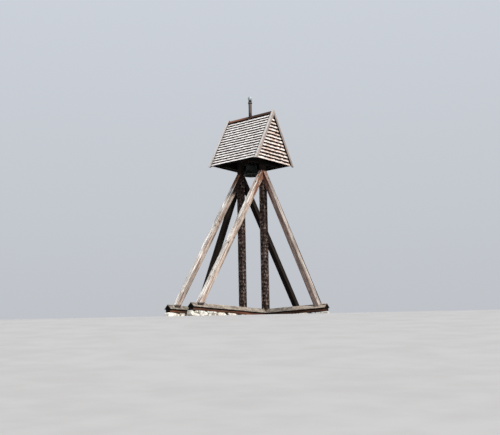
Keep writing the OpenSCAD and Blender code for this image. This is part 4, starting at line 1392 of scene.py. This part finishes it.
def tail_cut(b, c):
    """Where a board that hangs TAIL below the eaves ends, cut level."""
    return (c * C - TAIL) / S


def ridge_cut(b, c):
    return (ROOF_HALF - 0.001 - c * S) / C


for side, sx in (("left", -1), ("right", 1)):
    pile = Pile()
    for turn in (1, -1):
        R, l, w, eave = slope_frame(turn)
        t = np.cross(l, w)
        # this slope's own +w is +X on the front and -X on the back
        x_mid = sx * (VERGE_X + SLAB_X) / 2 * turn
        c0, c1 = LAY - EDGE_UP, VERGE_W - EDGE_UP
        sect = square((VERGE_X - SLAB_X) / 2, (c1 - c0) / 2, 0.003, 1, 3, 2, middle=(0.0, (c0 + c1) / 2))
        timber(pile, eave + w * x_mid, l, w, sect, tail_cut, ridge_cut, 26, (rnd.random(), rnd.random(), rnd.random()), hew=0.0014,
               seed=60 + sx + turn)
        out = np.array([sx, 0, 0.0])
        u = 0.10
        while u < SLOPE_L - 0.2:
            for d in (-0.004, 0.046):
                nail(eave + l * (u + rnd.uniform(-0.02, 0.02)) + t * (d + rnd.uniform(-0.004, 0.004)) + out * (VERGE_X - 0.0008), out)
            u += 0.55
    pile.make(side + "_verge_boards_planed", M_verge, [side + "_verge_boards"])

for side, turn in (("front", 1), ("back", -1)):
    R, l, w, eave = slope_frame(turn)
    t = np.cross(l, w)
    pile = Pile()
    for sx in (-1, 1):
        x_mid = sx * (VERGE_X - EDGE_W / 2)
        tone = (rnd.random(), rnd.random(), rnd.random())
        sect = square(EDGE_W / 2, TRIM_T / 2, 0.003, 3, 1, 2, middle=(0.0, -EDGE_UP - TRIM_T / 2))
        timber(pile, eave + w * x_mid, l, w, sect, tail_cut, ridge_cut, 24, tone, arris=0.0, hew=0.0012, seed=70 + sx + turn)
        # the batten that lifts it off the shingles
        x_mid2 = sx * (SLAB_X - 0.019)
        sect = square(0.017, (EDGE_UP - LAY) / 2, 0.002, 1, 1, 1, middle=(0.0, -(EDGE_UP + LAY) / 2))
        timber(pile, eave + w * x_mid2, l, w, sect, lambda b, c: c * C / S, ridge_cut, 12, tone, hew=0.0006, seed=75 + sx + turn)
        u = 0.12
        while u < SLOPE_L - 0.1:
            for b in (-0.026, 0.030):
                nail(eave + w * (x_mid + b) + l * (u + rnd.uniform(-0.02, 0.02)) - t * (EDGE_UP + TRIM_T - 0.0008), -t)
            u += 0.48
    pile.make(side + "_edge_boards_planed", M_edge, [side + "_edge_boards"])

    def on_slope(u, d):
        return np.array([(d * SLOPE_K - u) / SLOPE_N, ROOF_TOP - (u * SLOPE_K + d) / SLOPE_N])

    def ridge_section(s):
        x = -RIDGE_X + 2 * RIDGE_X * s
        y_in = -POLE_HW - 0.002 if abs(x) < POLE_HW + 0.0025 else -0.0006
        low_in, low_out = on_slope(RIDGE_W, -LAY), on_slope(RIDGE_W, -RIDGE_T)
        top_in = np.array([y_in, ROOF_TOP + LAY * SLOPE_N + SLOPE_K * y_in])
        top_out = np.array([y_in, ROOF_TOP + RIDGE_T * SLOPE_N + SLOPE_K * y_in])
        e = 0.003
        along = unit(low_out - top_out)
        across = unit(low_in - low_out)
        pts = [low_in, top_in, top_out - np.array([0, 0.003]), top_out + along * e]
        # the outer face, down to the lower edge, with a round arris
        span = low_out - along * e - (top_out + along * e)
        pts += [top_out + along * e + span * f for f in (0.34, 0.67)]
        pts += [low_out - along * e, low_out - along * e * 0.3 + across * e * 0.3, low_out + across * e]
        return np.array(pts)

    pile = Pile()
    near = POLE_HW + 0.0022
    xs = sorted([x for x in np.linspace(-RIDGE_X, RIDGE_X, 25) if abs(x) > near + 0.01] + [-near - 0.0006, -near, near, near + 0.0006])
    # l x w = up for both slopes
    timber(pile, (0, 0, 0), R((1, 0, 0)), R((0, 1, 0)), ridge_section, -RIDGE_X, RIDGE_X, [(x + RIDGE_X) / (2 * RIDGE_X) for x in xs],
           (rnd.random(), rnd.random(), rnd.random()), arris=0.0)
    for k in range(-4, 5):
        for u in (0.022, 0.062):
            x = k * 0.26 + rnd.uniform(-0.02, 0.02)
            if abs(x) < 0.09:
                continue
            y, z = on_slope(u, -RIDGE_T + 0.0005)
            nail(R((x, y, z)), R((0, -S, C)))
    pile.make(side + "_ridge_board_planed", M_ridge, [side + "_ridge_board"])

# ------------------------------------------------------------------ timbers inside the hood

for side, sx in (("left", -1), ("right", 1)):
    x0 = POST_X + CORE_HW
    pile = Pile()
    plank(pile, (min(sx * x0, sx * (x0 + 0.110)), -0.900, TIE_Z), (max(sx * x0, sx * (x0 + 0.110)), 0.900, PLATE_Z - 0.0003), 1,
          (0.5 + 0.2 * sx, 0.4, 0.6), arris=0.005, hew=0.003, r=0.007, cross=(2, 2), seed=80 + sx)
    pile.make(side + "_tie_beam_hewn", M_hood, [side + "_tie_beam"])
    pile = Pile()
    lo, hi = sorted((sx * (GABLE_IN - 0.090), sx * GABLE_IN))
    plank(pile, (lo, -PLATE_IN, PLATE_Z), (hi, PLATE_IN, PLATE_TOP), 1, (0.4, 0.6, 0.3 + 0.2 * sx), hew=0.002, r=0.005, seed=84 + sx)
    pile.make(side + "_gable_rail_hewn", M_hood, [side + "_gable_rail"])
for side, sy in (("front", -1), ("back", 1)):
    pile = Pile()
    lo, hi = sorted((sy * PLATE_IN, sy * PLATE_OUT))
    plank(pile, (-GABLE_IN, lo, PLATE_Z), (GABLE_IN, hi, PLATE_TOP), 0, (0.5 + 0.3 * sy, 0.6, 0.5), hew=0.002, r=0.005, seed=88 + sy)
    pile.make(side + "_wall_plate_hewn", M_hood, [side + "_wall_plate"])
pile = Pile()
plank(pile, (-GABLE_IN, -BEAM_HW, BEAM_Z), (GABLE_IN, BEAM_HW, BEAM_TOP), 0, (0.5, 0.6, 0.5), hew=0.002, r=0.006, seed=91)
pile.make("ridge_beam_hewn", M_hood, ["ridge_beam"])

pile = Pile()
for turn in (1, -1):
    R, l, w, eave = slope_frame(turn)
    t = np.cross(l, w)
    for x in (-GABLE_IN + 0.045, 0.0, GABLE_IN - 0.045):
        # outline in the slope's own plane, notched over the wall plate
        d0, d1 = SLOPE_T + LAY, SLOPE_T + RAFTER_D
        y_of = lambda u, d: -ROOF_HALF + u * C + d * S
        z_of = lambda u, d: EAVE_Z + u * S - d * C

        def uv(y, z):
            dy, dz = y + ROOF_HALF, z - EAVE_Z
            return (dy * C + dz * S, dy * S - dz * C)

        y_n = -(ROOF_TOP - d1 * SLOPE_N - PLATE_TOP) / SLOPE_K
        z_n = ROOF_TOP - d1 * SLOPE_N - SLOPE_K * PLATE_OUT
        u_top = lambda d: (ROOF_HALF - BEAM_HW - 0.0005 - d * S) / C
        pts = [(0.045, d0), (u_top(d0), d0), (u_top(d1), d1), uv(y_n, PLATE_TOP + 0.0003), uv(-PLATE_OUT - 0.0003, PLATE_TOP + 0.0003),
               uv(-PLATE_OUT - 0.0003, z_n), (0.045, d1)]
        e = 0.003
        pts = [(float(u), float(d)) for u, d in pts]
        near = lambda u, d: eave + l * u + t * d + w * (x + 0.045)
        far = lambda u, d: eave + l * u + t * d + w * (x - 0.045)
        prism(pile, pts, near, far, (rnd.random(), 0.5, rnd.random()), grain_of=lambda u, d: (u, d, 0))
pile.make("rafters_sawn", M_hood, ["rafters"])

# ------------------------------------------------------------------ spire

pile = Pile()
timber(pile, (0, 0, 0), (0, 0, 1), (1, 0, 0), square(POLE_HW, POLE_HW, 0.009, 2, 2, 2), BEAM_TOP, POLE_Z, 14, (0.5, 0.5, 0.5),
       hew=0.0015, seed=95)
pile.make("spire_pole_hewn", M_spire, ["spire_pole"])
pile = Pile()
prof = [(0, 0), (0.070, 0), (0.072, 0.002)] + smooth_line([(0.072, 0.002), (0.080, 0.012), (0.0855, 0.026), (0.086, 0.041), (0.0855, 0.056), (0.080, 0.068), (0.071, 0.0735)], 4)[1:] \
    + [(0.060, 0.0745), (0, 0.0745)]
turned(pile, prof, (0, 0, POLE_Z), 48, (0.3, 0.5, 0.5))
pile.make("spire_collar_turned", M_collar, ["spire_collar"], sharp=40)
pile = Pile()
prof = [(0, 0.0742), (0.0688, 0.0742), (0.0695, 0.078), (0.0672, 0.082), (0.0672, COLLAR_H - 0.012), (0.0700, COLLAR_H - 0.007),
        (0.0705, COLLAR_H - 0.002), (0.069, COLLAR_H - 0.0002), (0, COLLAR_H - 0.0002)]
turned(pile, prof, (0, 0, POLE_Z), 48, (0.3, 0.5, 0.5))
pile.make("spire_neck_black_band", M_neck, ["spire_collar"], sharp=40)
pile = Pile()
prof = [(0, 0), (0.030, 0)] + [(0.0895 * math.cos(math.radians(a)), KNOB_H / 2 + KNOB_H / 2 * (math.sin(math.radians(a)) if a > 0 else math.sin(math.radians(a)) / math.sin(math.radians(70))))
                               for a in range(-70, 90, 8)] + [(0, KNOB_H)]
prof = [(r, min(max(h, 0), KNOB_H)) for r, h in prof]
turned(pile, prof, (0, 0, POLE_Z + COLLAR_H), 48, (0.5, 0.5, 0.5))
# a seam round the middle
turned(pile, [(0.0885, -0.004), (0.0906, -0.002), (0.0906, 0.002), (0.0885, 0.004)], (0, 0, POLE_Z + COLLAR_H + KNOB_H / 2), 48, (0.5, 0.5, 0.5), close=True)
pile.make("spire_knob_metal", M_knob, ["spire_knob"], sharp=50)

# ------------------------------------------------------------------ bell

outer_line = [(292, 0), (291, 12), (283, 34), (266, 64), (247, 98), (230, 134), (215, 176), (203, 222), (194, 270), (187, 318),
              (181, 352), (170, 384), (153, 410), (136, 426)]
inner_line = [(0, 404), (60, 402), (112, 393), (137, 377), (154, 350), (165, 312), (173, 265), (182, 215), (193, 165), (206, 120),
              (221, 80), (236, 48), (256, 18), (276, 0)]


def bell_profile():
    fine = smooth_line(outer_line, 6)
    out = []
    bands = [(52, 3.0, 2.2), (60, 2.0, 1.4), (118, 2.2, 1.2), (300, 2.6, 1.8), (309, 2.0, 1.2), (340, 2.6, 1.8), (372, 2.0, 1.0)]
    hs = sorted({h for _, h in fine} | {h0 + d * k for h0, d, _ in bands for k in (-1, -0.5, 0, 0.5, 1)})
    rs = np.interp(hs, [h for _, h in fine], [r for r, _ in fine])
    for h, r in zip(hs, rs):
        add = sum(a * max(0, 1 - ((h - h0) / d) ** 2) for h0, d, a in bands)
        out.append((r + add - 0.4, h))
    inn = smooth_line(inner_line, 3)
    pts = [(276, 0)] + [(284, 0.2)] + [(290.5, 1.2)] + out[1:] + [(130, 429.4), (0, 429.8)]
    return [[(r * BELL_R / 292, h * BELL_H / 430) for r, h in line] for line in (pts, inn)]


pile = Pile()
outside, inside = bell_profile()
turned(pile, outside, (0, 0, LIP_Z), 96, (0.5, 0.5, 0.5))
# the inside runs from the crown down to the lip
before = len(pile.faces)
turned(pile, inside, (0, 0, LIP_Z), 96, (0.5, 0.5, 0.5))
# the inside's faces are marked so the bronze paints them as shade
pile.ends[before:] = [1.0] * (len(pile.faces) - before)
pile.make("bell_cast", M_bronze, ["bell"], body="bell", sharp=38)

pile = Pile()
line = [(26, 403), (26, 392), (14, 384), (11, 372), (10.5, 290), (11, 200), (14, 108), (24, 98), (33, 86), (38, 70), (36, 52), (28, 38),
        (20, 31), (15, 24), (13, 14), (12, 6), (6, 4)]
full = [(0, 403.2), (20, 403.2)] + smooth_line(line, 3)[1:] + [(0, 4)]
turned(pile, [(r * BELL_R / 292, h * BELL_H / 430) for r, h in reversed(full)], (0, 0, LIP_Z), 24, (0.5, 0.5, 0.5))
pile.make("bell_clapper_forged", M_iron, ["bell_clapper"], body="bell", sharp=45)

pile = Pile()
plank(pile, (-STOCK_HALF, -STOCK_HW, CROWN_Z), (STOCK_HALF, STOCK_HW, CROWN_Z + STOCK_H), 0, (0.5, 0.5, 0.5), arris=0.008, hew=0.003,
      r=0.012, per=0.05, cross=(4, 4), seed=97)
pile.make("bell_headstock_hewn", M_stock, ["bell_headstock"], body="bell")

pile = Pile()
t = 0.008
for x in (-0.060, 0.060):
    for y0, y1, z0, z1 in ((-STOCK_HW - t, -STOCK_HW, CROWN_Z, CROWN_Z + STOCK_H + t), (STOCK_HW, STOCK_HW + t, CROWN_Z, CROWN_Z + STOCK_H + t),
                           (-STOCK_HW + 0.0, STOCK_HW - 0.0, CROWN_Z + STOCK_H, CROWN_Z + STOCK_H + t)):
        along = 2 if y1 - y0 < 0.05 else 1
        plank(pile, (x - 0.018, y0, z0), (x + 0.018, y1, z1), along, (0.5, 0.5, 0.5), arris=0.001, hew=0.0004, r=0.0012, per=0.05)
    for y in (-STOCK_HW - t, STOCK_HW + t):
        for z in (CROWN_Z + 0.045, CROWN_Z + 0.190):
            s = 1 if y > 0 else -1
            turned(pile, [(0.011, -0.001), (0.011, 0.006), (0.0085, 0.0085), (0, 0.0095)], (x, y, z), 6, (0.5, 0.5, 0.5), smooth=False, axis=(0, s, 0))
    turned(pile, [(0.012, -0.001), (0.012, 0.008), (0.009, 0.011), (0, 0.012)], (x, 0.0, CROWN_Z + STOCK_H + t), 6, (0.5, 0.5, 0.5), smooth=False)
pile.make("headstock_straps_forged", M_iron, ["headstock_straps"], body="bell")

pile = Pile()
for s in (-1, 1):
    lo, hi = sorted((s * STOCK_HALF, s * (STOCK_HALF + 0.012)))
    plank(pile, (lo, -0.050, AXIS_Z - 0.060), (hi, 0.050, AXIS_Z + 0.060), 0, (0.5, 0.5, 0.5), arris=0.0015, hew=0.0003, r=0.002, cross=(2, 2))
    end = POST_X - CORE_HW - 0.005 - STOCK_HALF - 0.012
    turned(pile, [(0, 0), (PIN_R, 0), (PIN_R, end - 0.002), (PIN_R - 0.002, end), (0, end)], (s * (STOCK_HALF + 0.012), 0, AXIS_Z), 64,
           (0.5, 0.5, 0.5), axis=(s, 0, 0))
    for y in (-0.036, 0.036):
        for z in (-0.045, 0.045):
            turned(pile, [(0.007, -0.001), (0.007, 0.004), (0.005, 0.0055), (0, 0.006)], (s * (STOCK_HALF + 0.012), y, AXIS_Z + z), 6,
                   (0.5, 0.5, 0.5), smooth=False, axis=(s, 0, 0))
pile.make("headstock_gudgeons_forged", M_iron, ["headstock_gudgeons"], body="bell")

for side, sx in (("left", -1), ("right", 1)):
    pile = Pile()
    bore, n = PIN_R + 0.00005, 64
    x_in, x_out = POST_X - CORE_HW - 0.050, POST_X - CORE_HW
    y0, z0, z1 = 0.055, AXIS_Z - 0.080, AXIS_Z + 0.050
    # a block with a bore: its outline and the bore's ring, joined by strips of faces
    outline = []
    for k in range(n):
        a = 2 * math.pi * k / n
        d = np.array([math.cos(a), math.sin(a)])
        f = min(y0 / abs(d[0]) if abs(d[0]) > 1e-9 else 9, (0.050 if d[1] > 0 else 0.080) / abs(d[1]) if abs(d[1]) > 1e-9 else 9)
        outline.append(d * f)
    ring = [np.array([math.cos(2 * math.pi * k / n), math.sin(2 * math.pi * k / n)]) * bore for k in range(n)]
    for c in ((y0, 0.050), (-y0, 0.050), (-y0, -0.080), (y0, -0.080)):
        k = min(range(n), key=lambda i: math.hypot(outline[i][0] - c[0], outline[i][1] - c[1]))
        outline[k] = np.array(c)
    e = 0.002
    co, faces = [], []
    for x, inset in ((x_in, e), (x_in + e, 0), (x_out, 0)):
        for p in outline:
            q = np.array(p) * (1 - inset / np.linalg.norm(p))
            co.append((sx * x, q[0], AXIS_Z + q[1]))
    for x in (x_in, x_out):
        for p in ring:
            co.append((sx * x, p[0], AXIS_Z + p[1]))
    for k in range(n):
        j = (k + 1) % n
        quads = [(k, j, n + j, n + k), (n + k, n + j, 2 * n + j, 2 * n + k), (3 * n + k, 3 * n + j, j, k),
                 (2 * n + k, 2 * n + j, 4 * n + j, 4 * n + k), (4 * n + k, 4 * n + j, 3 * n + j, 3 * n + k)]
        faces += quads if sx > 0 else [tuple(reversed(q)) for q in quads]
    pile.put(co, faces, np.array(co), (0.5, 0.5, 0.5), True)
    for y in (-0.040, 0.040):
        for z in (-0.062, 0.034):
            turned(pile, [(0.0085, -0.001), (0.0085, 0.006), (0.0065, 0.0075), (0, 0.008)], (sx * x_in, y, AXIS_Z + z), 6,
                   (0.5, 0.5, 0.5), smooth=False, axis=(-sx, 0, 0))
    pile.make(side + "_bearing_cast", M_iron, [side + "_bearing"], sharp=30)

iron.make("strut_bolts", M_iron)
nails.make("board_nails", M_iron, sharp=60)

# ------------------------------------------------------------------ floor, light and camera

CAM = Vector((26.051, -31.486, -3.254))
TOWARDS = (0.639, -0.769)


def ground(x, y):
    """Level under the tower, and falling gently towards the camera from just in front of it."""
    d = x * TOWARDS[0] + y * TOWARDS[1] - 4.05
    return 0.0 if d <= 0 else -(math.hypot(d, 0.6) - 0.6) * math.tan(math.radians(8.0))


n = 120
span = 160.0
axis = [math.copysign(abs(v) ** 2.2, v) * span for v in np.linspace(-1, 1, n)]
right = (-TOWARDS[1], TOWARDS[0])
verts, faces = [], []
for i, a in enumerate(axis):
    for j, b in enumerate(axis):
        b = b + 4.3
        x, y = a * right[0] + b * TOWARDS[0], a * right[1] + b * TOWARDS[1]
        verts.append((x, y, ground(x, y)))
        if i < n - 1 and j < n - 1:
            v = i * n + j
            faces.append((v, v + n, v + n + 1, v + 1))
me = bpy.data.meshes.new("floor")
me.from_pydata(verts, [], faces)
me.polygons.foreach_set("use_smooth", [True] * len(faces))
floor = bpy.data.objects.new("floor", me)
bpy.context.scene.collection.objects.link(floor)
fl = Nodes("floor_plain", 0.95, 0.1)
fp = fl.noise(fl.scaled(fl.place(), (0.9, 0.9, 0.9)), 4)
me.materials.append(fl.done(fl.mix(fl.span(fp, 0.3, 0.7), (0.38, 0.37, 0.36, 1), (0.41, 0.40, 0.39, 1))))

sun_dir = Vector((0.80, -0.17, 0.57)).normalized()
lamp = bpy.data.lights.new("key", "SUN")
lamp.energy = 4.3
lamp.angle = math.radians(4.0)
lamp.color = (1.0, 0.965, 0.92)
key = bpy.data.objects.new("key", lamp)
key.rotation_mode = "QUATERNION"
key.rotation_quaternion = sun_dir.to_track_quat("Z", "Y")
bpy.context.scene.collection.objects.link(key)

world = bpy.data.worlds.new("soft_sky")
world.use_nodes = True
bpy.context.scene.world = world
wt = world.node_tree
wt.nodes.clear()
wo = wt.nodes.new("ShaderNodeOutputWorld")
bg = wt.nodes.new("ShaderNodeBackground")
tc = wt.nodes.new("ShaderNodeTexCoord")
sep = wt.nodes.new("ShaderNodeSeparateXYZ")
mr = wt.nodes.new("ShaderNodeMapRange")
mx = wt.nodes.new("ShaderNodeMix")
mx.data_type = "RGBA"
wt.links.new(tc.outputs["Generated"], sep.inputs[0])
wt.links.new(sep.outputs["Z"], mr.inputs["Value"])
mr.inputs["From Min"].default_value = 0.0
mr.inputs["From Max"].default_value = 0.9
wt.links.new(mr.outputs[0], mx.inputs["Factor"])
cols = [s for s in mx.inputs if s.type == "RGBA"]
cols[0].default_value = (0.50, 0.52, 0.55, 1)
cols[1].default_value = (0.74, 0.80, 0.90, 1)
wt.links.new([s for s in mx.outputs if s.type == "RGBA"][0], bg.inputs["Color"])
wt.links.new(bg.outputs[0], wo.inputs[0])
bg.inputs["Strength"].default_value = 1.0

cam = bpy.data.cameras.new("camera")
cam.lens = 73.547
cam.sensor_width = 36.0
cam.sensor_fit = "HORIZONTAL"
cam.clip_start, cam.clip_end = 0.5, 300.0
eye = bpy.data.objects.new("camera", cam)
eye.matrix_world = (Matrix.Translation(CAM) @ Matrix.Rotation(math.radians(39.741), 4, "Z")
                    @ Matrix.Rotation(math.radians(90 + 10.515), 4, "X") @ Matrix.Rotation(math.radians(-1.139), 4, "Z"))
bpy.context.scene.collection.objects.link(eye)
bpy.context.scene.camera = eye
bpy.context.scene.view_settings.view_transform = "Standard"
bpy.context.scene.view_settings.look = "None"
bpy.context.scene.view_settings.exposure = 0.0

bpy.context.view_layer.update()
